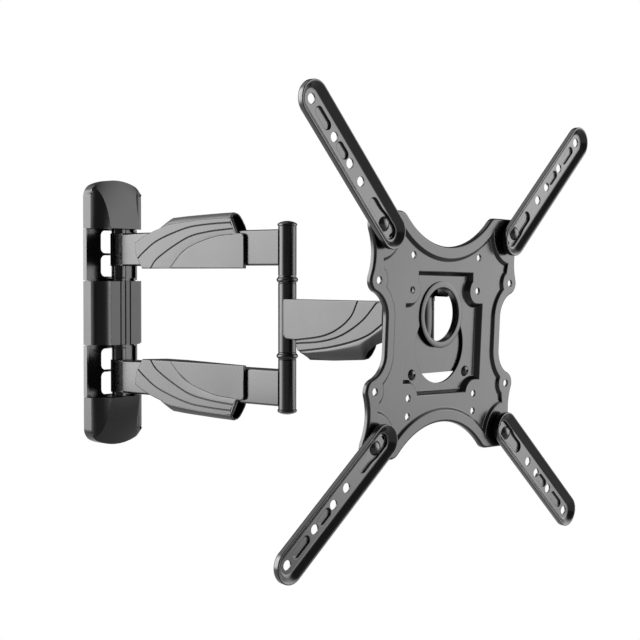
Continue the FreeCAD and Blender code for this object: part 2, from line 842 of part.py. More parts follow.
beam_copes = [(0, "dim.column_radius"), ("-dim.fore_length", "dim.swivel_radius")]
box_section(
    "-dim.beam_half_height",
    "dim.beam_half_height",
    "dim.fore_length - 10",
    4,
    "fore_arm_beam",
    FORE,
    beam_copes,
)


def fore_shell():
    """The fore arm's cover: its tunnel hangs below the beam, so it is built upside down."""
    foot = num("dim.beam_half_height") + 0.3
    near_end = [(29, 26.5, 30), (36, 33.5, 39), (44, 33, 42.4)]
    stations = [*near_end, (78, 28.6, 41.4), (116, 21.5, 39), (149, 20.6, 37)]
    tunnel = cable_tunnel(stations, foot, 11)
    top = -num("dim.beam_half_height") - 0.5
    path = [
        (vec(8, top), vec(146, top)),
        (vec(146, top), vec(146, 5)),
        (vec(146, 5), vec(134, 16), vec(116, 21.5)),
        (vec(116, 21.5), vec(78, 28.6)),
        (vec(78, 28.6), vec(36, 33.5)),
        (vec(36, 33.5), vec(22, 25)),
        (vec(22, 25), vec(16, 22)),
        (vec(16, 22), vec(10, 19), vec(8, 12)),
        (vec(8, 12), vec(8, top)),
    ]
    panel = side_panel(path)
    hollow = Part.makeBox(2, 112, 32, FreeCAD.Vector(-num("dim.panel_back") - 1.8, -132, -16))
    beam_room = Part.makeBox(20.2, 300, 40.2, FreeCAD.Vector(-10.1, -290, -20.1))
    lip = [vec(119, 39), vec(125, 30), vec(134, 23.5), vec(150, 19)]
    mouth_path = polygon(lip + [vec(160, 19), vec(160, 50), vec(119, 50)])
    mouth_face = face_of(mouth_path, lambda p: FreeCAD.Vector(-20, -p.x, p.y))
    mouth = mouth_face.extrude(FreeCAD.Vector(40, 0, 0))
    shell = panel.cut(hollow).fuse(tunnel).cut(beam_room).cut(mouth).removeSplitter()
    return shell.mirror(FreeCAD.Vector(0, 0, 0), Z_AXIS)


keep(solid(fore_shell()), "fore_arm_cover", FORE)

SWIVEL = (0, "-dim.fore_length")
swivel_low = (*SWIVEL, "-dim.beam_half_height")
swivel_barrel = tube("dim.swivel_radius", "dim.swivel_bore", "2 * dim.beam_half_height", swivel_low)
keep(swivel_barrel, "swivel_barrel", FORE)


def swivel_bush(side):
    bush = flanged_bush(
        "dim.elbow_bolt_radius + dim.bush_play",
        "dim.swivel_bore",
        "dim.swivel_radius",
        "dim.washer_gauge",
        14,
        f"{side} * dim.beam_half_height",
        -side,
    )
    bush.Placement.Base = vec(*SWIVEL)
    return bush


keep(both_ends(swivel_bush), "swivel_bushes", FORE)


# ---------------------------------------------------------------- swivel yoke and its bolt


def yoke_shape():
    """Two round ears joined by a curved web in front of the barrel, with upright lugs for the bolts."""
    inner = num("dim.yoke_inner")
    outer = num("dim.yoke_outer")
    low = num("dim.yoke_ear_low")
    high = num("dim.yoke_ear_high")
    angle = num("dim.yoke_web_angle")
    web = Part.makeCylinder(outer, 2 * high, FreeCAD.Vector(0, 0, -high), Z_AXIS, 2 * angle)
    web.rotate(FreeCAD.Vector(0, 0, 0), Z_AXIS, -90 - angle)
    shape = web.cut(Part.makeCylinder(inner, 2 * high, FreeCAD.Vector(0, 0, -high)))
    lug_top = num("dim.lug_height")
    half = num("dim.lug_half_depth")
    gauge = outer - inner
    hole = num("dim.elbow_bolt_radius")
    for side in (1, -1):
        ear_low = low if side > 0 else -high
        shape = shape.fuse(Part.makeCylinder(outer, high - low, FreeCAD.Vector(0, 0, ear_low)))
        lug_low = low if side > 0 else -lug_top
        for corner in (inner, -outer):
            lug = Part.makeBox(gauge, 2 * half, lug_top - low, FreeCAD.Vector(corner, -half, lug_low))
            shape = shape.fuse(lug)
        start = FreeCAD.Vector(-2 * outer, 0, side * num("dim.tilt_height"))
        bore = hole if side > 0 else hole + num("dim.bush_play")
        shape = shape.cut(Part.makeCylinder(bore, 4 * outer, start, X_AXIS))
    return shape.cut(Part.makeCylinder(hole, 4 * high, FreeCAD.Vector(0, 0, -2 * high))).removeSplitter()


keep(solid(yoke_shape()), "swivel_yoke", HEAD)

ear_top = "dim.yoke_ear_high"
swivel_shank = cylinder("dim.elbow_bolt_radius", f"2 * {ear_top} + 6.5", (0, 0, f"-{ear_top} - 6.5"))
swivel_head = hexagon(13, 5.3, (0, 0, ear_top))
keep(fuse(swivel_shank, swivel_head), "swivel_bolt", HEAD)
swivel_nut = hexagon(13, 6.5, (0, 0, f"-{ear_top} - 6.5"))
swivel_nut_bore = cylinder("dim.elbow_bolt_radius", 6.5, (0, 0, f"-{ear_top} - 6.5"))
keep(cut(swivel_nut, swivel_nut_bore), "swivel_nut", HEAD)


def friction_washer(across, height):
    """A nylon washer between a lug and a cheek."""
    low = "dim.yoke_outer" if across > 0 else "-dim.yoke_outer - dim.washer_gauge"
    return tube(7.5, "dim.elbow_bolt_radius + dim.bush_play", "dim.washer_gauge", (low, 0, height), X_AXIS)


tilt_heights = ("dim.tilt_height", "-dim.tilt_height")
washers = [friction_washer(across, height) for across in (1, -1) for height in tilt_heights]
keep(group(*washers), "tilt_washers", HEAD)

cheek_outer = "dim.cheek_inner + dim.cheek_gauge"
tension_start = f"-({cheek_outer}) - 1.3"
tension_length = f"2 * ({cheek_outer}) + 2.6 + 8"
tension_base = (tension_start, 0, "dim.tilt_height")
tension_shank = cylinder("dim.elbow_bolt_radius", tension_length, tension_base, X_AXIS)
tension_head = hexagon(13, 5.3, (f"{tension_start} - 5.3", 0, "dim.tilt_height"), X_AXIS)
keep(fuse(tension_shank, tension_head), "tension_bolt", HEAD)


def tension_washer(across):
    low = f"{cheek_outer} + dim.joint_gap" if across > 0 else f"-({cheek_outer}) - dim.joint_gap - 1.2"
    return tube(9, "dim.elbow_bolt_radius", 1.2, (low, 0, "dim.tilt_height"), X_AXIS)


keep(both_ends(tension_washer), "tension_washers", HEAD)
tension_nut = hexagon(13, 6.5, (f"{cheek_outer} + 1.3", 0, "dim.tilt_height"), X_AXIS)
tension_bore = cylinder("dim.elbow_bolt_radius", 6.5, (f"{cheek_outer} + 1.3", 0, "dim.tilt_height"), X_AXIS)
keep(cut(tension_nut, tension_bore), "tension_nut", HEAD)


# ---------------------------------------------------------------- tilt head


def head_path():
    """The head plate's outline in plate heights: square feet, a cut between them, a rounded top."""
    half = num("dim.head_half_width")
    top = num("dim.head_top")
    cut_y = num("dim.head_cut")
    bottom = num("dim.head_bottom")
    quarter = [
        (vec(0, top), vec(24, top)),
        (vec(24, top), vec(33, top - 4), vec(37, top - 13)),
        (vec(37, top - 13), vec(37, -12)),
        (vec(37, -12), vec(half, -24)),
        (vec(half, -24), vec(half, bottom + 6)),
        (vec(half, bottom + 6), vec(half - 1.76, bottom + 1.76), vec(half - 6, bottom)),
        (vec(half - 6, bottom), vec(32, bottom)),
        (vec(32, bottom), vec(30, cut_y)),
        (vec(30, cut_y), vec(0, cut_y)),
    ]
    return quarter + mirrored(quarter, -1, 1)


def cheek(side, bend):
    """One side cheek: a tongue off the head plate with the tilt hole below or the arc slot above."""
    inner = num("dim.cheek_inner")
    gauge = num("dim.cheek_gauge")
    half = num("dim.cheek_half")
    front = -num("dim.face_offset - dim.recess_depth - dim.sheet - dim.head_gap - dim.head_gauge")
    corner_x = inner if side > 0 else -inner - gauge
    hole = num("dim.elbow_bolt_radius")
    if bend < 0:
        tongue = Part.makeBox(gauge, -front, 2 * half, FreeCAD.Vector(corner_x, front, -half))
        nose = Part.makeCylinder(half, gauge, FreeCAD.Vector(corner_x, 0, 0), X_AXIS)
        return tongue.fuse(nose).cut(Part.makeCylinder(hole, gauge, FreeCAD.Vector(corner_x, 0, 0), X_AXIS))
    reach = 2 * num("dim.tilt_height")
    tongue = Part.makeBox(gauge, 27 - front, 2 * half, FreeCAD.Vector(corner_x, front, reach - half - 1.5))
    return tongue.cut(arc_slot(corner_x, gauge, reach, hole + 0.15))


def arc_slot(corner_x, gauge, reach, half_width):
    """The slot that the tension bolt slides in, an arc about the tilt bolt from 6 back to 16 forward."""
    first = math.radians(-6)
    last = math.radians(16)

    def at(radius, turn):
        return FreeCAD.Vector(radius * math.sin(turn), radius * math.cos(turn), 0)

    def heading(turn):
        return FreeCAD.Vector(math.cos(turn), -math.sin(turn), 0) * half_width

    outer = reach + half_width
    inner = reach - half_width
    middle = (first + last) / 2
    path = [
        (at(outer, first), at(outer, middle), at(outer, last)),
        (at(outer, last), at(reach, last) + heading(last), at(inner, last)),
        (at(inner, last), at(inner, middle), at(inner, first)),
        (at(inner, first), at(reach, first) - heading(first), at(outer, first)),
    ]
    face = face_of(path, lambda p: FreeCAD.Vector(corner_x, p.x, p.y))
    return face.extrude(FreeCAD.Vector(gauge, 0, 0))


def head_shape():
    rise = num("dim.plate_rise")
    back = -num("dim.face_offset - dim.recess_depth - dim.sheet - dim.head_gap")
    gauge = num("dim.head_gauge")
    face = face_of(head_path(), lambda p: FreeCAD.Vector(p.x, back, p.y + rise))
    shape = face.extrude(FreeCAD.Vector(0, gauge, 0))
    centre = FreeCAD.Vector(0, back - 1, rise + num("dim.collar_rise"))
    for side in (1, -1):
        for bend in (1, -1):
            shape = shape.fuse(cheek(side, bend))
        spot = FreeCAD.Vector(side * num("dim.lock_x"), back - 1, rise + num("dim.lock_y"))
        shape = shape.cut(Part.makeCylinder(2.5, gauge + 2, spot, Y_AXIS))
    return shape.cut(Part.makeCylinder(num("dim.collar_bore"), gauge + 2, centre, Y_AXIS)).removeSplitter()


keep(solid(head_shape()), "head_plate", TILTED)

collar_height = "dim.plate_rise + dim.collar_rise"
head_front = "-(dim.face_offset - dim.recess_depth - dim.sheet - dim.head_gap)"
neck_length = "dim.sheet + dim.head_gap + 0.3"
neck_base = (0, f"{head_front} - ({neck_length})", collar_height)
neck = cylinder("dim.collar_neck", neck_length, neck_base, Y_AXIS)
flange_front = f"{head_front} - ({neck_length}) - dim.collar_gauge"
flange_base = (0, flange_front, collar_height)
flange = cylinder("dim.collar_flange", "dim.collar_gauge", flange_base, Y_AXIS)
collar_bore = cylinder("dim.collar_bore", f"{neck_length} + dim.collar_gauge", flange_base, Y_AXIS)
keep(cut(fuse(neck, flange), collar_bore), "head_collar", TILTED)

tilt_base = (f"-({cheek_outer})", 0, 0)
tilt_shank = cylinder("dim.elbow_bolt_radius", f"2 * ({cheek_outer}) + 8", tilt_base, X_AXIS)
tilt_head = hexagon(13, 5.3, (f"-({cheek_outer}) - 5.3", 0, 0), X_AXIS)
keep(fuse(tilt_shank, tilt_head), "tilt_bolt", TILTED)
tilt_nut = hexagon(13, 6.5, (cheek_outer, 0, 0), X_AXIS)
tilt_nut_bore = cylinder("dim.elbow_bolt_radius", 6.5, (cheek_outer, 0, 0), X_AXIS)
keep(cut(tilt_nut, tilt_nut_bore), "tilt_nut", TILTED)


def lock_screw(side):
    """A button-head screw that clamps the TV plate's floor to the head plate."""
    spot_x = num("dim.lock_x") * side
    height = num("dim.plate_rise + dim.lock_y")
    front = -num("dim.face_offset - dim.recess_depth") - 0.1
    ball = Part.makeSphere(6.2, FreeCAD.Vector(spot_x, front + 3.4, height))
    head = ball.common(Part.makeCylinder(5, 3, FreeCAD.Vector(spot_x, front - 2.8, height), Y_AXIS))
    head = head.common(Part.makeBox(20, 2.8, 20, FreeCAD.Vector(spot_x - 10, front - 2.8, height - 10)))
    shank = Part.makeCylinder(2.5, 11, FreeCAD.Vector(spot_x, front, height), Y_AXIS)
    socket = Part.makeCylinder(1.6, 1.6, FreeCAD.Vector(spot_x, front - 2.8, height), Y_AXIS)
    return solid(head.fuse(shank).cut(socket).removeSplitter())


keep(both_ends(lock_screw), "lock_screws", TILTED)


def lock_nut(side):
    start = "-(dim.face_offset - dim.recess_depth - dim.sheet - dim.head_gap - dim.head_gauge)"
    spot = (f"{side} * dim.lock_x", start, "dim.plate_rise + dim.lock_y")
    return cut(hexagon(8, 4, spot, Y_AXIS), cylinder(2.5, 4, spot, Y_AXIS))


keep(both_ends(lock_nut), "lock_nuts", TILTED)


# ---------------------------------------------------------------- TV plate: a pressed sheet


def plate_quarter(inset):
    """A quarter of the plate's edge: top arc, shoulder, pivot corner, tab and waist."""
    arc_centre = vec(0, "dim.top_arc_centre")
    arc_radius = num("dim.top_arc_radius") + inset
    shoulder = num("dim.shoulder_radius") - inset
    pivot = vec("dim.pivot_pitch", "dim.pivot_pitch")
    corner = num("dim.corner_flat") - inset
    shoulder_y = num("dim.pivot_pitch + dim.corner_flat - dim.shoulder_radius")
    reach = arc_radius + shoulder
    shoulder_x = math.sqrt(reach ** 2 - (arc_centre.y - shoulder_y) ** 2)
    shoulder_centre = FreeCAD.Vector(shoulder_x, shoulder_y, 0)
    tab = vec("dim.pivot_pitch", "dim.ear_pitch")
    tab_radius = num("dim.tab_radius") - inset
    flank = 50 + inset
    flank_centre = crossing(pivot, corner + flank, tab, tab_radius + flank, 1)
    waist = num("dim.waist_half") - inset
    hollow = 24.6 + inset
    drop = math.sqrt((tab_radius + hollow) ** 2 - (waist + hollow - tab.x) ** 2)
    hollow_centre = FreeCAD.Vector(waist + hollow, tab.y - drop, 0)
    low = arc_centre - FreeCAD.Vector(0, arc_radius, 0)
    p1 = touch(arc_centre, arc_radius, shoulder_centre, shoulder)
    p2 = shoulder_centre + FreeCAD.Vector(0, shoulder, 0)
    p3 = pivot + FreeCAD.Vector(0, corner, 0)
    p4 = touch(pivot, corner, flank_centre, flank)
    p5 = touch(tab, tab_radius, flank_centre, flank)
    p6 = touch(tab, tab_radius, hollow_centre, hollow)
    p7 = hollow_centre - FreeCAD.Vector(hollow, 0, 0)
    tab_east = tab + FreeCAD.Vector(tab_radius, 0, 0)
    return [
        arc_about(arc_centre, low, p1),
        arc_about(shoulder_centre, p1, p2),
        (p2, p3),
        (p3, arc_point(pivot, corner, 40), p4),
        arc_about(flank_centre, p4, p5),
        (p5, tab_east, p6),
        arc_about(hollow_centre, p6, p7),
        (p7, FreeCAD.Vector(waist, 0, 0)),
    ]


def panel_quarter(grow):
    """A quarter of the sunk panel: it follows the edge and steps round each pivot and tab."""
    arc_centre = vec(0, "dim.top_arc_centre")
    arc_radius = num("dim.top_arc_radius + dim.rim_band") - grow
    pivot = vec("dim.pivot_pitch", "dim.pivot_pitch")
    seat = 32 - grow
    tab = vec("dim.pivot_pitch", "dim.ear_pitch")
    tab_radius = 13 - grow
    hollow_centre = vec("dim.waist_half + 24.6", 15.6)
    hollow = 36.4 - grow
    p1 = crossing(pivot, seat, arc_centre, arc_radius, 1)
    p2 = arc_point(pivot, seat, 262)
    p3 = arc_point(tab, tab_radius, 125)
    p4 = crossing(tab, tab_radius, hollow_centre, hollow, -1)
    p5 = hollow_centre - FreeCAD.Vector(hollow, 0, 0)
    low = arc_centre - FreeCAD.Vector(0, arc_radius, 0)
    return [
        arc_about(arc_centre, low, p1),
        arc_about(pivot, p1, p2),
        (p2, p3),
        arc_about(tab, p3, p4),
        arc_about(hollow_centre, p4, p5),
        (p5, FreeCAD.Vector(p5.x, 0, 0)),
    ]


def floor_path(grow):
    """The deep recess: a square with its corners notched round the inner screw holes."""
    top = 57.5 + grow
    bottom = -55 - grow
    wide = 57 + grow
    neck = 40 + grow
    foot = 36 + grow
    upper = vec(50, 41.5)
    lower = vec(50, -58.3)
    notch = 14 - grow
    lower_notch = 15 - grow
    upper_in = FreeCAD.Vector(neck, upper.y + math.sqrt(notch ** 2 - (upper.x - neck) ** 2), 0)
    upper_out = upper - FreeCAD.Vector(0, notch, 0)
    lower_out = lower + FreeCAD.Vector(0, lower_notch, 0)
    lower_in = FreeCAD.Vector(lower.x - math.sqrt(lower_notch ** 2 - (bottom - lower.y) ** 2), bottom, 0)
    half = [
        (vec(0, top), vec(neck, top)),
        (vec(neck, top), upper_in),
        (upper_in, upper - FreeCAD.Vector(notch, 0, 0), upper_out),
        (upper_out, vec(wide, upper_out.y)),
        (vec(wide, upper_out.y), vec(wide, lower_out.y)),
        (vec(wide, lower_out.y), lower_out),
        arc_about(lower, lower_out, lower_in),
        (lower_in, vec(0, bottom)),
    ]
    return half + mirrored(half, -1, 1)


def keyhole_path():
    """A large opening that passes the collar and a smaller one above it that the collar hangs in."""
    low = vec(0, "dim.keyhole_low_y")
    high = vec(0, "dim.collar_rise")
    low_radius = num("dim.keyhole_low_radius")
    high_radius = num("dim.keyhole_high_radius")
    join = crossing(low, low_radius, high, high_radius, -1)
    other = FreeCAD.Vector(-join.x, join.y, 0)
    return [
        (other, low - FreeCAD.Vector(0, low_radius, 0), join),
        (join, high + FreeCAD.Vector(0, high_radius, 0), other),
    ]


tv_plate = body("tv_plate")
edge = sketch(tv_plate, "XZ_Plane", "-dim.rim_return")
outline(edge, four_ways(plate_quarter(0)))
pad(tv_plate, edge, "dim.rim_return + dim.rim_rise")
under = sketch(tv_plate, "XZ_Plane")
outline(under, four_ways(plate_quarter(num("dim.sheet"))))
pocket(tv_plate, under, "dim.rim_return", False)
backing = sketch(tv_plate, "XZ_Plane", "-dim.sheet")
outline(backing, four_ways(panel_quarter(num("dim.sheet"))))
pad(tv_plate, backing, "dim.sheet")
sunk = sketch(tv_plate, "XZ_Plane")
outline(sunk, four_ways(panel_quarter(0)))
pocket(tv_plate, sunk, "dim.rim_rise + 1")
well = sketch(tv_plate, "XZ_Plane", "-dim.recess_depth - dim.sheet")
outline(well, floor_path(num("dim.sheet")))
pad(tv_plate, well, "dim.recess_depth + dim.sheet")
floor = sketch(tv_plate, "XZ_Plane", "-dim.recess_depth")
outline(floor, floor_path(0))
pocket(tv_plate, floor, "dim.recess_depth + 1")
keyhole = sketch(tv_plate, "XZ_Plane", "-dim.recess_depth - dim.sheet - 1")
outline(keyhole, keyhole_path())
pocket(tv_plate, keyhole, "dim.sheet + 2")
holes = sketch(tv_plate, "XZ_Plane", "-dim.recess_depth - dim.sheet - 1")
for side in (1, -1):
    for height in (74, 41.6, -58.4, -75.4):
        circle(holes, f"{side} * 50", height, 3.3)
    for height in ("dim.ear_pitch", "-dim.ear_pitch"):
        circle(holes, f"{side} * dim.pivot_pitch", height, 3.5)
    for height in ("dim.pivot_pitch", "-dim.pivot_pitch"):
        circle(holes, f"{side} * dim.pivot_pitch", height, "dim.pivot_radius")
    circle(holes, f"{side} * dim.lock_x", "dim.lock_y", 4.5)
pocket(tv_plate, holes, "dim.recess_depth + dim.sheet + dim.rim_rise + 2")
keep(tv_plate, "tv_plate", PLATE)


# ---------------------------------------------------------------- extension arms and their pivots


def stadium(radius, heel, reach):
    """A slot-shaped outline from -heel to reach along x."""
    left = -heel
    return [
        (vec(left, -radius), vec(reach, -radius)),
        (vec(reach, -radius), vec(reach + radius, 0), vec(reach, radius)),
        (vec(reach, radius), vec(left, radius)),
        (vec(left, radius), vec(left - radius, 0), vec(left, -radius)),
    ]


def extension_arm(label, place):
    """A pressed steel tray: a rim all round, a sunk seat at the pivot, holes along the floor."""
    heel = num("dim.arm_heel")
    tip = num("dim.stud_reach")
    radius = num("dim.arm_radius")
    gauge = num("dim.arm_gauge")
    seat = num("dim.seat_radius")
    seat_reach = num("dim.seat_reach")
    owner = body(label)
    rim = sketch(owner, "XZ_Plane", "dim.arm_floor")
    outline(rim, stadium(radius, heel, tip))
    pad(owner, rim, "dim.arm_rim - dim.arm_floor")
    tray = sketch(owner, "XZ_Plane", "dim.arm_floor + dim.arm_gauge")
    outline(tray, stadium(radius - gauge, heel, tip))
    pocket(owner, tray, "dim.arm_rim")
    boss = sketch(owner, "XZ_Plane", "dim.seat_floor")
    outline(boss, stadium(seat + gauge, heel, seat_reach))
    pad(owner, boss, "dim.arm_floor + dim.arm_gauge - dim.seat_floor")
    sunk = sketch(owner, "XZ_Plane", "dim.seat_floor + dim.arm_gauge")
    outline(sunk, stadium(seat, heel, seat_reach))
    pocket(owner, sunk, "dim.arm_floor")
    dents = sketch(owner, "XZ_Plane", "dim.arm_floor + dim.arm_gauge - 0.9")
    for start, end in ((80.5, 89.5), (113, 128)):
        outline(dents, [tuple(p + vec(start, 0) for p in e) for e in stadium(4, 0, end - start)])
    pocket(owner, dents, 2)
    holes = sketch(owner, "XZ_Plane", 0)
    for spot in (50, 70.7, 100, tip):
        circle(holes, spot, 0, "dim.arm_hole")
    circle(holes, 0, 0, "dim.pivot_radius + dim.bush_play")
    corners = [vec(-17, -2.2), vec(-12.6, -2.2), vec(-12.6, 2.2), vec(-17, 2.2)]
    outline(holes, polygon(corners))
    pocket(owner, holes, "dim.arm_rim + 1")
    return keep(owner, label, place)


ARM_FRAMES = {
    "upper_right_arm": arm_frame(1, 1, UPPER_ARM_ANGLE),
    "upper_left_arm": arm_frame(-1, 1, UPPER_ARM_ANGLE),
    "lower_right_arm": arm_frame(1, -1, LOWER_ARM_ANGLE),
    "lower_left_arm": arm_frame(-1, -1, LOWER_ARM_ANGLE),
}
for label, place in ARM_FRAMES.items():
    extension_arm(label, place)


def at_pivots(make):
    """The same piece at all four arm pivots of the TV plate."""
    pieces = []
    for x in (1, -1):
        for y in (1, -1):
            piece = make()
            piece.Placement.Base = vec(f"{x} * dim.pivot_pitch", 0, f"{y} * dim.pivot_pitch")
            pieces.append(piece)
    return group(*pieces)


def pivot_screw():
    """A domed screw through an arm's seat, square to the plate and held by a nut behind it."""
    seat = num("dim.seat_floor + dim.arm_gauge") + 0.1
    radius = 6.8
    rise = 3.6
    ball_radius = (radius ** 2 + rise ** 2) / (2 * rise)
    ball = Part.makeSphere(ball_radius, FreeCAD.Vector(0, -seat - rise + ball_radius, 0))
    slab = Part.makeCylinder(radius, rise, FreeCAD.Vector(0, -seat - rise, 0), Y_AXIS)
    shank = Part.makeCylinder(num("dim.pivot_radius"), seat + 7, FreeCAD.Vector(0, -seat, 0), Y_AXIS)
    return solid(ball.common(slab).fuse(shank).removeSplitter())


def pivot_nut():
    nut = hexagon(13, 6.5, (0, 0, 0), Y_AXIS)
    return cut(nut, cylinder("dim.pivot_radius", 6.5, (0, 0, 0), Y_AXIS))


def pivot_washer():
    """A thin nylon washer between the plate and an arm's seat."""
    gauge = "dim.seat_floor - dim.rim_rise - dim.joint_gap"
    start = (0, f"-dim.rim_rise - ({gauge})", 0)
    return tube(9, "dim.pivot_radius", gauge, start, Y_AXIS)


keep(at_pivots(pivot_screw), "pivot_screws", PLATE)
keep(at_pivots(pivot_nut), "pivot_nuts", PLATE)
keep(at_pivots(pivot_washer), "pivot_washers", PLATE)


# ---------------------------------------------------------------- check and write

doc.recompute()
for obj in doc.Objects:
    if "Invalid" in obj.State or "Error" in obj.State:
        raise RuntimeError(f"{obj.Label} did not build: {obj.State}")
for obj in nodes:
    if obj.Shape.isNull() or not obj.Shape.isValid():
        raise RuntimeError(f"{obj.Label} has no valid shape")
os.makedirs("parts", exist_ok=True)
for obj in nodes:
    obj.Shape.exportStep(f"parts/{obj.Label}.step")
    print(obj.Label, len(obj.Shape.Solids), round(obj.Shape.Volume))
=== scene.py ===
import json
import math

import bmesh
import bpy
from mathutils import Matrix, Vector
from mathutils.geometry import delaunay_2d_cdt, tessellate_polygon

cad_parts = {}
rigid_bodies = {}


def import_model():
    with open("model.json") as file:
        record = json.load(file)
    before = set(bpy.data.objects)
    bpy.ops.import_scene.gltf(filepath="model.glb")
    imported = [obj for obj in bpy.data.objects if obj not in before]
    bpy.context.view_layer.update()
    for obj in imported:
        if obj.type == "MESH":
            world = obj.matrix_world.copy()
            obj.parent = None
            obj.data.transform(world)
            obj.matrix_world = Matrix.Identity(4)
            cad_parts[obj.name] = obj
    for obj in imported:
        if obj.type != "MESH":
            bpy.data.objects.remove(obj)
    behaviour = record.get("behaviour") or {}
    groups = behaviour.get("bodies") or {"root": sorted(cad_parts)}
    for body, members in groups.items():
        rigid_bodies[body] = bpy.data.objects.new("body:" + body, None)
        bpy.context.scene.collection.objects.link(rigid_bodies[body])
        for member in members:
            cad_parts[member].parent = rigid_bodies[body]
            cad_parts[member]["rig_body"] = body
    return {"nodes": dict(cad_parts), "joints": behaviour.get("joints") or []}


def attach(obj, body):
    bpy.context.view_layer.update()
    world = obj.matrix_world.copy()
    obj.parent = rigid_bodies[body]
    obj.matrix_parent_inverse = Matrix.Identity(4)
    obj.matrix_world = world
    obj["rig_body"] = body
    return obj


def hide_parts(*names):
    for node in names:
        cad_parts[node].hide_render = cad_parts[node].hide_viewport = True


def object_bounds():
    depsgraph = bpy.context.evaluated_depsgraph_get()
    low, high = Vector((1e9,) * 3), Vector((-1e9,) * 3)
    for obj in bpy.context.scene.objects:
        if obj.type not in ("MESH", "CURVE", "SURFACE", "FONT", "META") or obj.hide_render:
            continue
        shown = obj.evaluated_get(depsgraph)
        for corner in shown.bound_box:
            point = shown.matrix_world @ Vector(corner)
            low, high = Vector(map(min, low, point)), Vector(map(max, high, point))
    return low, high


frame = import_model()
cad_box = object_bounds()

# ------------------------------------------------------------------ studio
# A product table: a pale seamless floor far below the mount that glows with painted softbox light, three
# softboxes and a faint surround.
# The mount hangs as it does from a wall, so nothing stands under it.

CAMERA_PLACE = Vector((-1.0178, -1.2428, 0.0480))
CAMERA_YAW = 0.8445
CAMERA_PITCH = 0.0324
CAMERA_ROLL = 0.0018
CAMERA_LENS = 74.46
CAMERA_SHIFT = (-0.0004, -0.0069)
FLOOR_DROP = 0.55
FLOOR_SIZE = 60
# the point from which the floor's painted softbox glow is aimed
MOUNT_OVER_FLOOR = (0.0, -0.4, 0.72)
AMBIENT = 0.10
# A softbox is its direction, the cosines where its glow starts and where it is full, and its power.
SOFTBOXES = (
    ((-0.70, 0.71, 0.30), 0.80, 0.98, 8.8),
    ((0.73, -0.68, 0.22), 0.76, 0.99, 4.2),
    ((-0.20, 0.50, 0.85), 0.75, 0.98, 1.3),
)

turn = Matrix.Rotation(-CAMERA_YAW, 4, "Z") @ Matrix.Rotation(math.pi / 2 - CAMERA_PITCH, 4, "X")
camera_data = bpy.data.cameras.new("camera")
camera_data.lens = CAMERA_LENS
camera_data.shift_x, camera_data.shift_y = CAMERA_SHIFT
camera = bpy.data.objects.new("camera", camera_data)
camera.matrix_world = Matrix.Translation(CAMERA_PLACE) @ turn @ Matrix.Rotation(CAMERA_ROLL, 4, "Z")
bpy.context.scene.collection.objects.link(camera)
bpy.context.scene.camera = camera
bpy.context.scene.view_settings.view_transform = "Standard"


def srgb(hex_code):
    """A linear colour from an sRGB hex code."""
    parts = [int(hex_code[i : i + 2], 16) / 255 for i in (0, 2, 4)]
    return [p / 12.92 if p <= 0.04045 else ((p + 0.055) / 1.055) ** 2.4 for p in parts] + [1.0]


def node(tree, kind, links=(), **settings):
    """Add a shader node: settings name its properties or inputs, links are (input, output socket)."""
    made = tree.nodes.new(kind)
    for name, value in settings.items():
        title = name.replace("_", " ")
        if title in made.inputs:
            made.inputs[title].default_value = value
        else:
            setattr(made, name, value)
    for name, source in links:
        tree.links.new(source, made.inputs[name])
    return made


def softbox_light(tree, heading, ambient):
    """How bright the studio is in a direction."""
    total = node(tree, "ShaderNodeValue")
    total.outputs[0].default_value = ambient
    total = total.outputs[0]
    for direction, edge, core, power in SOFTBOXES:
        facing = node(tree, "ShaderNodeVectorMath", [(0, heading)], operation="DOT_PRODUCT")
        facing.inputs[1].default_value = Vector(direction).normalized()
        glow = node(
            tree,
            "ShaderNodeMapRange",
            [("Value", facing.outputs["Value"])],
            interpolation_type="SMOOTHSTEP",
            From_Min=edge,
            From_Max=core,
            To_Max=power,
        )
        added = node(tree, "ShaderNodeMath", [(0, total), (1, glow.outputs[0])], operation="ADD")
        total = added.outputs[0]
    return total


def white_to_the_eye(tree, strength):
    """Plain white where the camera looks, and this strong in reflections."""
    seen = node(tree, "ShaderNodeLightPath").outputs["Is Camera Ray"]
    return node(tree, "ShaderNodeMapRange", [("Value", seen), ("To Min", strength)]).outputs[0]


def glowing_floor():
    """White floor drawn as an emitter: plain white to the camera, and in reflections a painted copy of the
    softboxes' light plus a painted falloff, brighter behind the mount and dimmer toward the camera.
    """
    made = bpy.data.materials.new("white_floor_painted_glow")
    made.use_nodes = True
    tree = made.node_tree
    tree.nodes.clear()
    place = node(tree, "ShaderNodeTexCoord").outputs["Object"]
    below = node(tree, "ShaderNodeVectorMath", [(0, place)], operation="SUBTRACT")
    below.inputs[1].default_value = MOUNT_OVER_FLOOR
    heading = node(tree, "ShaderNodeVectorMath", [(0, below.outputs[0])], operation="NORMALIZE").outputs[0]
    depth = node(tree, "ShaderNodeSeparateXYZ", [(0, place)]).outputs["Y"]
    # painted falloff: the floor's glow runs from 0.4 toward the camera up to full behind the mount
    behind = node(tree, "ShaderNodeMapRange", [("Value", depth)], From_Min=-0.9, From_Max=0.3, To_Min=0.4)
    # painted copies of the softboxes' light, as seen from the mount
    boxes = softbox_light(tree, heading, 0.0)
    painted_glow = node(tree, "ShaderNodeMath", [(0, boxes), (1, behind.outputs[0])], operation="ADD")
    level = white_to_the_eye(tree, painted_glow.outputs[0])
    shader = node(tree, "ShaderNodeEmission", [("Strength", level)], Color=srgb("ffffff"))
    node(tree, "ShaderNodeOutputMaterial", [("Surface", shader.outputs[0])])
    return made


bpy.ops.mesh.primitive_plane_add(size=FLOOR_SIZE, location=(0, 0, cad_box[0][2] - FLOOR_DROP))
floor = bpy.context.object
floor.name = "floor"
floor.data.materials.append(glowing_floor())

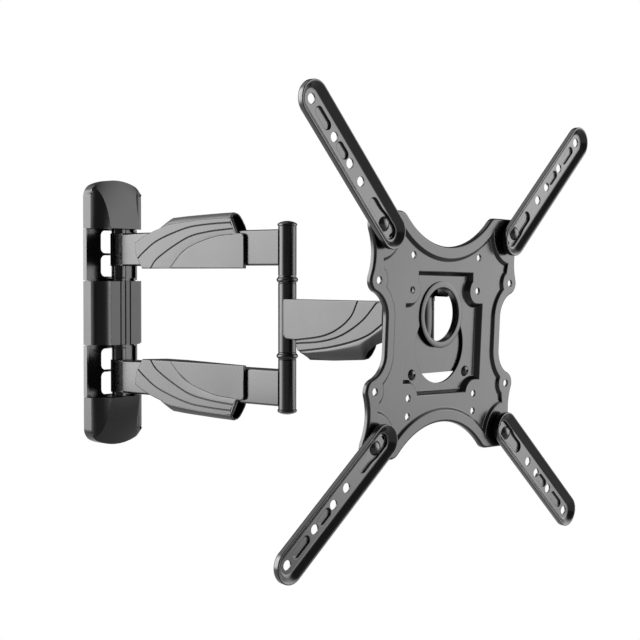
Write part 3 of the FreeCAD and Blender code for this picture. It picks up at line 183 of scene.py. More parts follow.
world = bpy.data.worlds.new("studio")
world.use_nodes = True
world.node_tree.nodes.clear()
tree = world.node_tree
heading = node(tree, "ShaderNodeTexCoord").outputs["Generated"]
level = white_to_the_eye(tree, softbox_light(tree, heading, AMBIENT))
sky = node(tree, "ShaderNodeBackground", [("Strength", level)], Color=srgb("ffffff"))
node(tree, "ShaderNodeOutputWorld", [("Surface", sky.outputs[0])])
bpy.context.scene.world = world


# ------------------------------------------------------------------ wall plate
# A pressed steel tray with four windows and hinge ears welded to it, powder coated in one go. The
# press tool rolls its edges, and lag screws hold it to the studs.


def finish(name, base, metallic, roughness, grain_mm, sheen=0.5):
    """A surface with a fine raised grain and slow patches of slightly different gloss."""
    relief_mm, patch_mm, uneven = 0.006, 35, 0.03
    made = bpy.data.materials.new(name)
    made.use_nodes = True
    tree = made.node_tree
    tree.nodes.clear()
    place = node(tree, "ShaderNodeTexCoord").outputs["Object"]
    grain = node(tree, "ShaderNodeTexNoise", [("Vector", place)], Scale=1000 / grain_mm, Detail=3.0)
    patches = node(tree, "ShaderNodeTexNoise", [("Vector", place)], Scale=1000 / patch_mm, Detail=4.0)
    gloss = node(
        tree,
        "ShaderNodeMapRange",
        [("Value", patches.outputs["Fac"])],
        From_Min=0.15,
        From_Max=0.85,
        To_Min=roughness - uneven,
        To_Max=roughness + uneven,
    )
    speck = node(tree, "ShaderNodeMapRange", [("Value", grain.outputs["Fac"])], To_Min=0.9, To_Max=1.1)
    tone = node(tree, "ShaderNodeVectorMath", [("Scale", speck.outputs[0])], operation="SCALE")
    tone.inputs[0].default_value = srgb(base)[:3]
    links = [("Height", grain.outputs["Fac"])]
    bump = node(tree, "ShaderNodeBump", links, Strength=0.08, Distance=relief_mm / 1000)
    links = [("Base Color", tone.outputs[0]), ("Roughness", gloss.outputs[0]), ("Normal", bump.outputs[0])]
    shader = node(tree, "ShaderNodeBsdfPrincipled", links, Metallic=metallic, Specular_IOR_Level=sheen)
    node(tree, "ShaderNodeOutputMaterial", [("Surface", shader.outputs[0])])
    return made


def roll_edges(piece, radius, sharper_than=35):
    """Round a piece's edges sharper than this angle to this radius in millimetres."""
    rolled = piece.modifiers.new("rolled", "BEVEL")
    rolled.width = radius / 1000
    rolled.segments = 3
    rolled.limit_method = "ANGLE"
    rolled.angle_limit = math.radians(sharper_than)
    rolled.harden_normals = True
    piece.data.shade_smooth()
    piece.data.set_sharp_from_angle(angle=math.radians(40))


def softened(name, radius, material):
    """A CAD node redrawn with its edges rolled to this radius in millimetres."""
    source = frame["nodes"][name]
    mesh = bpy.data.meshes.new(name + "_edges")
    bm = bmesh.new()
    bm.from_mesh(source.data)
    bmesh.ops.remove_doubles(bm, verts=bm.verts, dist=2e-5)
    bmesh.ops.dissolve_limit(bm, angle_limit=math.radians(1.5), verts=bm.verts, edges=bm.edges)
    bm.to_mesh(mesh)
    bm.free()
    piece = bpy.data.objects.new(name + "_edges", mesh)
    bpy.context.scene.collection.objects.link(piece)
    mesh.materials.clear()
    mesh.materials.append(material)
    roll_edges(piece, radius)
    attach(piece, source["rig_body"])
    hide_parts(name)


# Polyester powder baked on steel: near black, with an orange peel fine enough that each face still
# takes one broad soft sheen, and edges that catch a thin bright line.
coat = finish("black_powder_coat_on_steel", "0d0d0e", 0.0, 0.22, 0.5)
softened("wall_plate", 0.7, coat)
softened("hinge_ears", 0.5, coat)


# ------------------------------------------------------------------ hinge pins and bushes
# Headed steel pins join the ears to the double arm, held by spring clips under the end covers. They
# turn in flanged nylon bushes pushed into the tubes.

# Bright zinc plate on turned steel: a cool grey metal, a little dulled by its passivation.
zinc = finish("bright_zinc_plate", "55575a", 1.0, 0.32, 0.6)
# Black nylon: a soft, nearly matt plastic that shows only as a dark line at each joint. Its real grain
# is too fine to show, so it is drawn at 0.8 mm.
nylon = finish("black_nylon", "1c1c1c", 0.0, 0.45, 0.8)
softened("hinge_pins", 0.3, zinc)
softened("hinge_pin_clips", 0.25, zinc)
softened("hinge_bushes", 0.2, nylon)


# ------------------------------------------------------------------ wall covers
# Three ABS mouldings hide the wall plate: a grooved one in the middle and a crowned one at each end,
# with coved flanks and a face that slopes back to the wall. They clip over the plate.

COVER_HALF = 38.6       # half the covers' width
COVER_DEEP = 30.7       # how far their faces stand from the wall
COVE = 16.7             # radius of the coved flanks
END_FOOT = 99.6         # the height at which an end cover starts
END_TOP = 157.0         # and its highest point
CROWN_TOP = 156.0       # its crown's height before that is stretched to the highest point
CROWN = 77.0            # radius of the crown
CROWN_CORNER = 10.0     # how far in the crown's corners turn down

# Moulded ABS with a spark-eroded grain: the matt black that shows light only as broad soft patches.
# The real grain is about 0.1 mm, drawn at 0.35 mm so that it shows.
wall_cover = finish("black_abs_matt", "101010", 0.0, 0.30, 0.35, 0.4)
softened("wall_cover_centre", 1.0, wall_cover)


def crown_height(x):
    """The top of an end cover over x: a shallow crown with rounded corners."""
    centre, straight = CROWN_TOP - CROWN, COVER_HALF - CROWN_CORNER
    if abs(x) <= straight:
        return centre + math.sqrt(CROWN**2 - x * x)
    shoulder = centre + math.sqrt(CROWN**2 - straight**2)
    over = min(CROWN_CORNER, abs(x) - straight)
    return shoulder - CROWN_CORNER - 0.39 * over + math.sqrt(CROWN_CORNER**2 - over**2)


def end_cover_row(up, fraction):
    """One level row across an end cover, from wall to wall, stretched to meet the crown."""
    face = COVER_DEEP - 10.0 * fraction - 7.3 * fraction**2
    crease = COVER_HALF - math.sqrt(max(0.0, COVE**2 - (COVER_DEEP - face) ** 2))
    across = [crease * math.sin(math.pi / 2 * k / 14) for k in range(15)]
    across += [crease + (COVER_HALF - crease) * math.sin(math.pi / 2 * k / 10) for k in range(1, 11)]
    row = []
    for x in [-x for x in across[:0:-1]] + across:
        deep = COVER_DEEP - math.sqrt(max(0.0, COVE**2 - max(0.0, COVER_HALF - abs(x)) ** 2))
        if abs(x) <= crease + 1e-6:
            deep = face
        height = END_FOOT + (up - END_FOOT) * (crown_height(x) - END_FOOT) / (CROWN_TOP - END_FOOT)
        row.append((x, -min(deep, face), height))
    return [(row[0][0], -0.2, row[0][2])] + row + [(row[-1][0], -0.2, row[-1][2])]


def sheet_between(bm, rows):
    """Join rows of equal length with quads, smooth."""
    laid = [[bm.verts.new(p) for p in row] for row in rows]
    for one, two in zip(laid, laid[1:]):
        for k in range(len(one) - 1):
            bm.faces.new((one[k], one[k + 1], two[k + 1], two[k])).smooth = True


def end_cover(name, mirrored):
    """A moulded end cover, drawn for the top and mirrored for the bottom."""
    bm = bmesh.new()
    steps = 40
    rise = END_TOP - END_FOOT
    rows = [end_cover_row(END_FOOT + rise * v / steps, v / steps) for v in range(steps + 1)]
    rows.append([(x, -0.2, z) for x, y, z in rows[-1]])
    sheet_between(bm, rows)
    bmesh.ops.remove_doubles(bm, verts=bm.verts, dist=0.02)
    bmesh.ops.recalc_face_normals(bm, faces=bm.faces)
    if sum(f.normal.y * f.calc_area() for f in bm.faces) > 0:
        bmesh.ops.reverse_faces(bm, faces=bm.faces)
    if mirrored:
        bm.transform(Matrix.Scale(-1, 4, (0, 0, 1)))
        bmesh.ops.reverse_faces(bm, faces=bm.faces)
    bm.transform(Matrix.Scale(0.001, 4))
    mesh = bpy.data.meshes.new(name + "_shell")
    bm.to_mesh(mesh)
    bm.free()
    mesh.materials.append(wall_cover)
    piece = bpy.data.objects.new(name + "_shell", mesh)
    bpy.context.scene.collection.objects.link(piece)
    wall = piece.modifiers.new("wall", "SOLIDIFY")
    wall.thickness = 0.0022
    wall.offset = -1
    roll_edges(piece, 1.2, 40)
    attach(piece, "wall_bracket")
    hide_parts(name)


end_cover("wall_cover_top", False)
end_cover("wall_cover_bottom", True)


# ------------------------------------------------------------------ double arm
# Two rectangular steel tubes, one over the other, welded between round hinge tubes and the elbow's
# column, then powder coated. Their corners keep the mill radius.
# From here each arm is drawn in its own upright frame, in millimetres: x to the right, y to the back
# and z up, with the origin on its hinge. The frames come from the joints, so they agree with the motion.

CHEEK_SIZE = (1.4, 22.0, 38.5)     # thick, long and tall: what carries a bar's side on to its hinge
CHEEK_OUT = 9.3
CHEEK_ALONG = -7.0

joints = {j["name"]: j for j in frame["joints"]}


def hinge_at(name):
    """Where a joint's axis passes, in millimetres."""
    return Vector(joints[name]["pos_m"]) * 1000


def basis(origin, x, y, z):
    """Metres from the millimetres of a frame with these axes."""
    turned = Matrix((x, y, z)).transposed().to_4x4()
    return Matrix.Scale(0.001, 4) @ Matrix.Translation(origin) @ turned


def reaching(start, end):
    """An upright frame at start whose -y points at end."""
    back = (start - end).normalized()
    return basis(start, back.cross(Vector((0, 0, 1))), back, Vector((0, 0, 1)))


ARM = reaching(hinge_at("wall_hinge"), hinge_at("elbow"))
for name in ("upper_hinge_tube", "lower_hinge_tube"):
    softened(name, 0.5, coat)
for name in ("upper_bar", "lower_bar"):
    softened(name, 0.4, coat)


def bar_cheeks(name, foot):
    """The bar's two side walls carried on past its cope, welded to the hinge tube."""
    bm = bmesh.new()
    for side in (-1, 1):
        made = bmesh.ops.create_cube(bm, size=1)["verts"]
        bmesh.ops.scale(bm, verts=made, vec=CHEEK_SIZE)
        middle = (CHEEK_OUT * side, CHEEK_ALONG, foot + CHEEK_SIZE[2] / 2)
        bmesh.ops.translate(bm, verts=made, vec=middle)
    bm.transform(ARM)
    mesh = bpy.data.meshes.new(name)
    bm.to_mesh(mesh)
    bm.free()
    mesh.materials.append(coat)
    piece = bpy.data.objects.new(name, mesh)
    bpy.context.scene.collection.objects.link(piece)
    roll_edges(piece, 0.5)
    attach(piece, "double_arm")


bar_cheeks("upper_bar_cheeks", 55.4)
bar_cheeks("lower_bar_cheeks", -93.9)


# ------------------------------------------------------------------ elbow column
# Two round steel tubes with sleeves pressed in, clamped by one long bolt through the elbow. A domed
# polypropylene plug closes each end.

DOUBLE_ARM_LENGTH = 266.3
DOME_RADIUS = (10.5**2 + 3.0**2) / (2 * 3.0)
DOME_TOP = 102.75

softened("upper_column_tube", 0.5, coat)
softened("lower_column_tube", 0.5, coat)
softened("column_sleeves", 0.2, nylon)
softened("elbow_bolt", 0.3, zinc)
softened("elbow_nut", 0.3, zinc)


def as_piece(name, bm, body, material, stands_for):
    """Turn a drawn mesh into a piece that rides on its body, with its flats kept flat."""
    bmesh.ops.recalc_face_normals(bm, faces=bm.faces)
    mesh = bpy.data.meshes.new(name)
    curved = [face.smooth for face in bm.faces]
    bm.to_mesh(mesh)
    bm.free()
    mesh.materials.append(material)
    piece = bpy.data.objects.new(name, mesh)
    bpy.context.scene.collection.objects.link(piece)
    mesh.set_sharp_from_angle(angle=math.radians(30))
    mesh.polygons.foreach_set("use_smooth", curved)
    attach(piece, body)
    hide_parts(*stands_for)


def lathe(name, body, spots, profile, material, stands_for):
    """A turned piece: profile rows are (radius, height) in millimetres, repeated at each spot."""
    turns = 96
    bm = bmesh.new()
    for spot in spots:
        rings = []
        for radius, height in profile:
            ring = []
            for k in range(turns):
                a = 2 * math.pi * k / turns
                place = Vector((radius * math.cos(a), radius * math.sin(a), height))
                ring.append(bm.verts.new(spot @ place))
            rings.append(ring)
        closed = profile[0][0] == profile[-1][0]
        for one, two in zip(rings, rings[1:] + rings[:1] if closed else rings[1:]):
            for k in range(turns):
                bm.faces.new((one[k - 1], one[k], two[k], two[k - 1])).smooth = True
        if not closed:
            bm.faces.new(rings[0])
            bm.faces.new(rings[-1])
    as_piece(name, bm, body, material, stands_for)


def corner(centre, radius, start, end, steps):
    """Points round a fillet, from one heading to another in degrees."""
    points = []
    for k in range(steps + 1):
        a = math.radians(start + (end - start) * k / steps)
        points.append((centre[0] + radius * math.cos(a), centre[1] + radius * math.sin(a)))
    return points


# Polypropylene from a polished mould: darker than the coated tube, with a crisp highlight over a faint
# ripple 1.2 mm across.
smooth_plastic = finish("black_polypropylene_gloss", "0a0a0a", 0.0, 0.22, 1.2)
plug = [(7.75, 95.5), (7.75, 97.5), (10.2, 97.5), (10.45, 97.7)]
plug += corner((9.7, 99.2), 0.75, 0, 60, 4)
for k in range(8):
    r = 9.4 * (1 - k / 8)
    plug.append((r + 0.2, DOME_TOP - DOME_RADIUS + math.sqrt(DOME_RADIUS**2 - r * r)))
column = ARM @ Matrix.Translation((0, -DOUBLE_ARM_LENGTH, 0))
upside_down = Matrix.Rotation(math.pi, 4, "X")
for name, spot in (("column_cap_top", column), ("column_cap_bottom", column @ upside_down)):
    lathe(name + "_turned", "double_arm", [spot], plug, smooth_plastic, [name])


# ------------------------------------------------------------------ fore arm
# One rectangular steel tube welded between two round barrels, with nylon bushes in both, powder
# coated. Two polypropylene bead washers part its elbow barrel from the column.

FORE = reaching(hinge_at("elbow"), hinge_at("swivel"))
softened("elbow_barrel", 0.5, coat)
softened("fore_arm_beam", 0.4, coat)
softened("swivel_barrel", 0.5, coat)
softened("elbow_bushes", 0.2, nylon)
softened("swivel_bushes", 0.2, nylon)

bead = [(4.1, 36.45), (9.4, 36.45), (9.7, 36.75)]
bead += corner((8.8, 40.35), 2.75, -68, 68, 10)
bead += [(9.7, 43.95), (9.4, 44.25), (4.1, 44.25)]
ring_spots = [FORE, FORE @ upside_down]
lathe("elbow_ring_beads", "fore_arm", ring_spots, bead, smooth_plastic, ["elbow_rings"])


# ------------------------------------------------------------------ swivel and tilt head
# A bent steel yoke turns on the fore arm's end. The head plate hinges on its lower bolt, clamped by
# the tension bolt above, which slides in a slot, and two lock screws stop the television turning.

softened("swivel_yoke", 0.5, coat)
softened("head_plate", 0.5, coat)
# Black oxide on steel screws: a dark skin with an oily shine.
black_oxide = finish("black_oxide_screw_steel", "0c0c0d", 0.0, 0.25, 0.4, 0.8)
for name in ("swivel_bolt", "tension_bolt", "tilt_bolt", "lock_screws"):
    softened(name, 0.4, black_oxide)
for name in ("swivel_nut", "tension_nut", "tilt_nut", "lock_nuts"):
    softened(name, 0.3, zinc)
for name in ("tilt_washers", "tension_washers"):
    softened(name, 0.2, zinc)


# ------------------------------------------------------------------ collar
# A pressed steel neck welded to the head plate and flanged over, which the television plate hangs and
# turns on. It is powder coated with the head plate.

COLLAR_BORE = 25.5
COLLAR_OVER_MIDDLE = 18.5     # the collar's centre stands this far above the television plate's

plate_out = -Vector(joints["level"]["axis"])
plate_right = (hinge_at("upper_right_pivot") - hinge_at("upper_left_pivot")).normalized()
plate_up = plate_out.cross(plate_right)
plate_middle = hinge_at("level") - COLLAR_OVER_MIDDLE * plate_up
PLATE = basis(plate_middle, plate_right, plate_up, plate_out)

neck = [(COLLAR_BORE, -4.6)]
for a in [math.pi / 2 * k / 5 for k in range(1, 6)]:
    neck.append((COLLAR_BORE + 1.2 - 1.2 * math.cos(a), -4.9 + 1.2 * math.sin(a)))
neck += [(31.0, -3.7), (31.45, -3.9), (31.6, -4.3), (31.45, -4.8), (31.0, -5.05), (28.4, -5.1)]
neck += [(28.0, -5.5), (28.0, -10.6), (COLLAR_BORE, -10.6)]
spot = PLATE @ Matrix.Translation((0, COLLAR_OVER_MIDDLE, 0))
lathe("flanged_collar", "tilt_head", [spot], neck, coat, ["head_collar"])


# ------------------------------------------------------------------ television plate
# One steel pressing: a raised border, a sunk panel, a deep square recess and a keyhole in its floor.
# Every step has the press tool's radii and each hole a slight burr-free edge. Powder coated.

SHEET = 2.5                       # thickness
BORDER = 2.5                      # the border's height over the panel
RECESS = -5.3                     # the recess floor, below the panel
TOP_ARC = Vector((0, 171.4))      # centre of the arcs cut into the plate's top and bottom
PIVOT = Vector((100, 100))        # an extension arm's pivot
TAB = Vector((100, 50))           # a side tab's hole


def arc_through(start, middle, end, steps):
    """Points along the arc through three points, without its end."""
    ax, ay = start
    bx, by = middle
    cx, cy = end
    d = 2 * (ax * (by - cy) + bx * (cy - ay) + cx * (ay - by))
    sa, sb, sc = ax * ax + ay * ay, bx * bx + by * by, cx * cx + cy * cy
    ux = (sa * (by - cy) + sb * (cy - ay) + sc * (ay - by)) / d
    uy = (sa * (cx - bx) + sb * (ax - cx) + sc * (bx - ax)) / d
    radius = math.hypot(ax - ux, ay - uy)
    first = math.atan2(ay - uy, ax - ux)
    via = (math.atan2(by - uy, bx - ux) - first) % (2 * math.pi)
    last = (math.atan2(cy - uy, cx - ux) - first) % (2 * math.pi)
    sweep = last if via < last else last - 2 * math.pi
    turns = [first + sweep * k / steps for k in range(steps)]
    return [(ux + radius * math.cos(t), uy + radius * math.sin(t)) for t in turns]


def walked(path, steps=14):
    """A path of lines (two points) and arcs (three points) as one row of points."""
    points = []
    for edge in path:
        edge = [(p[0], p[1]) for p in edge]
        points += [edge[0]] if len(edge) == 2 else arc_through(*edge, steps)
    return points


def four_ways(quarter):
    """The closed outline of a quarter that runs from x = 0 to y = 0."""
    points = walked(quarter, 14)
    last = (quarter[-1][-1][0], quarter[-1][-1][1])
    back = [last] + points[:0:-1]
    right = points + [(x, -y) for x, y in back]
    return right + [(-x, -y) for x, y in points] + [(-x, y) for x, y in back]


def polar(centre, radius, degrees):
    """The point at this radius and heading from a centre."""
    a = math.radians(degrees)
    return Vector((centre[0] + radius * math.cos(a), centre[1] + radius * math.sin(a)))


def touching(centre_a, radius_a, centre_b, radius_b):
    """Where two circles touch from outside."""
    a, b = Vector(centre_a[:2]), Vector(centre_b[:2])
    return a + (b - a).normalized() * radius_a


def crossing(centre_a, radius_a, centre_b, radius_b, side):
    """One of the two points where two circles cross."""
    a, b = Vector(centre_a[:2]), Vector(centre_b[:2])
    gap = (b - a).length
    on = (radius_a**2 - radius_b**2 + gap**2) / (2 * gap)
    off = math.sqrt(radius_a**2 - on**2)
    ahead = (b - a).normalized()
    return a + ahead * on + Vector((-ahead.y, ahead.x)) * off * side


def arc_about(centre, start, end):
    """The shorter arc about a centre, as its three points."""
    c = Vector(centre[:2])
    radius = (start - c).length
    return (start, c + ((start - c) + (end - c)).normalized() * radius, end)


def plate_edge(inset):
    """The plate's outline: top arc, shoulder, pivot corner, tab and waist."""
    arc_radius = 88.4 + inset
    shoulder, round_corner, tab_radius = 14 - inset, 13.5 - inset, 11.3 - inset
    shoulder_y = 99.5
    reach = arc_radius + shoulder
    shoulder_centre = Vector((math.sqrt(reach**2 - (TOP_ARC.y - shoulder_y) ** 2), shoulder_y))
    flank = 50 + inset
    flank_centre = crossing(PIVOT, round_corner + flank, TAB, tab_radius + flank, 1)
    if flank_centre.x < PIVOT.x:
        flank_centre = crossing(PIVOT, round_corner + flank, TAB, tab_radius + flank, -1)
    waist, hollow = 87 - inset, 24.6 + inset
    drop = math.sqrt((tab_radius + hollow) ** 2 - (waist + hollow - TAB.x) ** 2)
    hollow_centre = Vector((waist + hollow, TAB.y - drop))
    p1 = touching(TOP_ARC, arc_radius, shoulder_centre, shoulder)
    p2 = shoulder_centre + Vector((0, shoulder))
    p3 = PIVOT + Vector((0, round_corner))
    p4 = touching(PIVOT, round_corner, flank_centre, flank)
    p5 = touching(TAB, tab_radius, flank_centre, flank)
    p6 = touching(TAB, tab_radius, hollow_centre, hollow)
    p7 = hollow_centre - Vector((hollow, 0))
    return [
        arc_about(TOP_ARC, TOP_ARC - Vector((0, arc_radius)), p1),
        arc_about(shoulder_centre, p1, p2),
        (p2, p3),
        (p3, polar(PIVOT, round_corner, 40), p4),
        arc_about(flank_centre, p4, p5),
        (p5, TAB + Vector((tab_radius, 0)), p6),
        arc_about(hollow_centre, p6, p7),
        (p7, Vector((waist, 0))),
    ]


def panel_edge(grow):
    """The sunk panel's outline, which steps round each pivot and tab."""
    arc_radius = 100.9 - grow
    seat, tab_radius = 32 - grow, 13 - grow
    hollow_centre, hollow = Vector((111.6, 15.6)), 36.4 - grow
    p1 = crossing(PIVOT, seat, TOP_ARC, arc_radius, 1)
    p2 = polar(PIVOT, seat, 262)
    p3 = polar(TAB, tab_radius, 125)
    p4 = crossing(TAB, tab_radius, hollow_centre, hollow, -1)
    p5 = hollow_centre - Vector((hollow, 0))
    return [
        arc_about(TOP_ARC, TOP_ARC - Vector((0, arc_radius)), p1),
        arc_about(PIVOT, p1, p2),
        (p2, p3),
        arc_about(TAB, p3, p4),
        arc_about(hollow_centre, p4, p5),
        (p5, Vector((p5.x, 0))),
    ]


def recess_edge(grow):
    """The deep recess: a square whose corners are notched round the inner screw holes."""
    top, bottom, wide = 57.5 + grow, -55 - grow, 57 + grow
    neck, upper, lower = 40 + grow, Vector((50, 41.5)), Vector((50, -58.3))
    notch, low_notch = 14 - grow, 15 - grow
    upper_in = Vector((neck, upper.y + math.sqrt(notch**2 - (upper.x - neck) ** 2)))
    upper_out = upper - Vector((0, notch))
    low_out = lower + Vector((0, low_notch))
    low_in = Vector((lower.x - math.sqrt(low_notch**2 - (bottom - lower.y) ** 2), bottom))
    half = [
        ((0, top), (neck, top)),
        ((neck, top), upper_in),
        (upper_in, upper - Vector((notch, 0)), upper_out),
        (upper_out, (wide, upper_out.y)),
        ((wide, upper_out.y), (wide, low_out.y)),
        ((wide, low_out.y), low_out),
        arc_about(lower, low_out, low_in),
    ]
    points = walked(half, 12) + [(low_in.x, low_in.y)]
    return points + [(-x, y) for x, y in points[:0:-1]]


def keyhole_edge(grow):
    """A large opening that passes the collar, and a smaller one above it that the collar hangs in."""
    low, high = Vector((0, -10.5)), Vector((0, 18.5))
    low_radius, high_radius = 36 + grow, 29 + grow
    join = crossing(low, low_radius, high, high_radius, -1)
    other = Vector((-join.x, join.y))
    path = [
        (other, low - Vector((0, low_radius)), join),
        (join, high + Vector((0, high_radius)), other),
    ]
    return walked(path, 48)


def ring_at(bm, points, z):
    """An outline laid at one height."""
    return [bm.verts.new((x, y, z)) for x, y in points]


def skirt(bm, rings):
    """Join closed rings of equal length with quads."""
    for one, two in zip(rings, rings[1:]):
        for k in range(len(one)):
            bm.faces.new((one[k - 1], one[k], two[k], two[k - 1])).smooth = True


def flat(bm, outer, holes):
    """A level face inside the outer ring, less its holes."""
    rings = [outer] + holes
    rows = [[Vector((v.co.x, v.co.y, 0)) for v in ring] for ring in rings]
    corners = [v for ring in rings for v in ring]
    for tri in tessellate_polygon(rows):
        bm.faces.new([corners[k] for k in tri]).smooth = False


def circle(x, y, radius):
    turns = [2 * math.pi * k / 40 for k in range(40)]
    return [(x + radius * math.cos(t), y + radius * math.sin(t)) for t in turns]


def punched(bm, outline, front, back, ease=0.3):
    """A hole's wall with eased edges: returns its front and back rings."""
    rows = [(ease, front), (ease * 0.3, front - ease * 0.3), (0, front - ease)]
    rows += [(0, back + ease), (ease, back)]
    rings = [ring_at(bm, outline(grow), z) for grow, z in rows]
    skirt(bm, rings)
    return rings[0], rings[-1]


def stepped(bm, outline, high, low, press):
    """A pressed step: returns the rings where it meets each level, in front and then behind."""
    rings = []
    for k in range(11):
        t = k / 10
        level = high - (high - low) * (3 * t * t - 2 * t**3)
        rings.append(ring_at(bm, outline(press * (1 - 2 * t)), level))
    skirt(bm, rings)
    behind = [ring_at(bm, outline(SHEET), level - SHEET) for level in (high, low)]
    skirt(bm, behind)
    return rings[0], rings[-1], behind[0], behind[-1]


def round_hole(x, y, radius):
    return lambda grow: circle(x, y, radius + grow)


bm = bmesh.new()
# the turned-down rim, as (inset, height), from the plate's back round to its border
rim = [(2.5, 0.0), (2.5, -3.0), (0.25, -3.0), (0, -2.75), (0, 0.2)]
rim += [(2.3 - x, z) for x, z in corner((0, 0.2), 2.3, 0, 90, 6)]
rings = [ring_at(bm, four_ways(plate_edge(inset)), z) for inset, z in rim]
skirt(bm, rings)
border_front, border_back = [rings[-1]], [rings[0]]
panel_rings = stepped(bm, lambda grow: four_ways(panel_edge(grow)), BORDER, 0, 2.0)
recess_rings = stepped(bm, recess_edge, 0, RECESS, 2.3)
panel_front, panel_back = [panel_rings[1]], [panel_rings[3]]
border_front.append(panel_rings[0])
border_back.append(panel_rings[2])
panel_front.append(recess_rings[0])
panel_back.append(recess_rings[2])
floor_front, floor_back = [recess_rings[1]], [recess_rings[3]]
for x in (TAB.x, -TAB.x):
    for y, radius in ((50, 3.5), (100, 4.0), (-50, 3.5), (-100, 4.0)):
        front, back = punched(bm, round_hole(x, y, radius), BORDER, BORDER - SHEET)
        border_front.append(front)
        border_back.append(back)
for x in (50, -50):
    for y in (74, 41.6, -58.4, -75.4):
        front, back = punched(bm, round_hole(x, y, 3.3), 0, -SHEET)
        panel_front.append(front)
        panel_back.append(back)
front, back = punched(bm, keyhole_edge, RECESS, RECESS - SHEET, 0.5)
floor_front.append(front)
floor_back.append(back)
for x in (40.5, -40.5):
    front, back = punched(bm, round_hole(x, -37, 4.5), RECESS, RECESS - SHEET)
    floor_front.append(front)
    floor_back.append(back)
for level in (border_front, border_back, panel_front, panel_back, floor_front, floor_back):
    flat(bm, level[0], level[1:])
bm.transform(PLATE)
as_piece("pressed_tv_plate", bm, "tv_plate", coat, ["tv_plate"])


# ------------------------------------------------------------------ extension arms
# Four pressed trays with a rim all round, a bottle-shaped seat sunk at the pivot, four screw holes,
# two closed slots and a square hole at the heel. Domed pivot screws hold them to the plate.

TRAY_HALF = 16.0                        # half a tray's width
TRAY_HEEL = 9.0                         # centre of its round heel, behind the pivot
TRAY_REACH = 141.4                      # centre of its round tip, with the last hole
TRAY_HOLES = (50, 70.7, 100, TRAY_REACH)
CLOSED_SLOTS = ((80.5, 89.5), (113, 128))
TRAY_BACK, TRAY_FLOOR = 5.4, 7.2        # the floor's back and front, over the panel
SEAT_BACK, SEAT_FLOOR = 3.1, 4.9


def stadium(radius, heel, reach):
    """A slot's outline, round at both ends."""
    path = [
        ((-heel, -radius), (reach, -radius)),
        ((reach, -radius), (reach + radius, 0), (reach, radius)),
        ((reach, radius), (-heel, radius)),
        ((-heel, radius), (-heel - radius, 0), (-heel, -radius)),
    ]
    return walked(path, 28)


def bottle(grow):
    """The seat: round at the pivot, narrowing to a neck that runs out along the arm."""
    body_radius, neck = 6.9 + grow, 5.4 + grow
    upper = []
    for t in [math.pi / 2 * k / 12 for k in range(13)]:
        upper.append((-9 - body_radius * math.cos(t), body_radius * math.sin(t)))
    for t in [k / 8 for k in range(9)]:
        upper.append((3 + 11 * t, body_radius + (neck - body_radius) * (3 * t * t - 2 * t**3)))
    for t in [math.pi / 2 * k / 10 for k in range(11)]:
        upper.append((24 + neck * math.sin(t), neck * math.cos(t)))
    lower = [(x, -y) for x, y in upper[-2:0:-1]]
    return (upper + lower)[::-1]


def square_hole(grow):
    """The small square hole at the arm's heel."""
    half = 2.2 + grow
    return [(-14.8 + a * half, b * half) for a, b in ((-1, -1), (1, -1), (1, 1), (-1, 1))]


def rim_profile():
    """The tray's rim as (inset, height), from its back over the edge and down to its floor."""
    profile = [(2.5, TRAY_BACK)]
    for a in [math.pi / 2 * k / 5 for k in range(1, 6)]:
        profile.append((2.5 - 2.5 * math.sin(a), 7.9 - 2.5 * math.cos(a)))
    profile.append((0, 11.4))
    for a in [math.pi / 2 * k / 4 for k in range(1, 5)]:
        profile.append((0.8 - 0.8 * math.cos(a), 11.4 + 0.8 * math.sin(a)))
    profile += [(1.3, 12.1), (1.9, 11.8), (2.9, 11.1), (4.1, 10.1), (5.3, 9.0), (6.3, 8.1), (7.0, 7.6)]
    return profile + [(7.7, 7.3), (8.3, TRAY_FLOOR)]


def sunk(bm, outline, rows):
    """The wall of a pressed dent or bulge, through rows of (growth, height): returns its rings."""
    rings = [ring_at(bm, outline(grow), z) for grow, z in rows]
    skirt(bm, rings)
    return rings


def closed_slot(start, end):
    return lambda grow: stadium(4 + grow, -start, end)


def tray(matrix, name, body):
    """One extension arm, drawn along x with its pivot at the origin."""
    bm = bmesh.new()
    rings = [ring_at(bm, stadium(TRAY_HALF - inset, TRAY_HEEL, TRAY_REACH), z) for inset, z in rim_profile()]
    skirt(bm, rings)
    seat_rows = [(0.7, TRAY_FLOOR), (0.35, 7.0), (0.05, 6.4), (-0.1, 5.6), (-0.3, 5.15), (-0.8, SEAT_FLOOR)]
    seat = sunk(bm, bottle, seat_rows)
    boss = sunk(bm, bottle, [(1.8, TRAY_BACK), (1.6, 3.4), (1.3, SEAT_BACK)])
    front, back = [seat[0]], [boss[0]]
    for x in TRAY_HOLES:
        hole = punched(bm, round_hole(x, 0, 4.4), TRAY_FLOOR, TRAY_BACK)
        front.append(hole[0])
        back.append(hole[1])
    seat_holes = [
        punched(bm, round_hole(0, 0, 4.05), SEAT_FLOOR, SEAT_BACK),
        punched(bm, square_hole, SEAT_FLOOR, SEAT_BACK, 0.2),
    ]
    for start, end in CLOSED_SLOTS:
        dent_rows = [(0.7, TRAY_FLOOR), (0.25, 7.0), (0, 6.4), (-0.2, 5.7), (-0.6, 5.35), (-1.2, 5.2)]
        dent = sunk(bm, closed_slot(start, end), dent_rows)
        flat(bm, dent[-1], [])
        front.append(dent[0])
        bulge = sunk(bm, closed_slot(start, end), [(1.6, TRAY_BACK), (1.2, 3.9), (0.6, 3.5)])
        flat(bm, bulge[-1], [])
        back.append(bulge[0])
    flat(bm, rings[-1], front)
    flat(bm, rings[0], back)
    flat(bm, seat[-1], [hole[0] for hole in seat_holes])
    flat(bm, boss[-1], [hole[1] for hole in seat_holes])
    bm.transform(matrix)
    as_piece(name + "_tray", bm, body, arm_coat, [name])


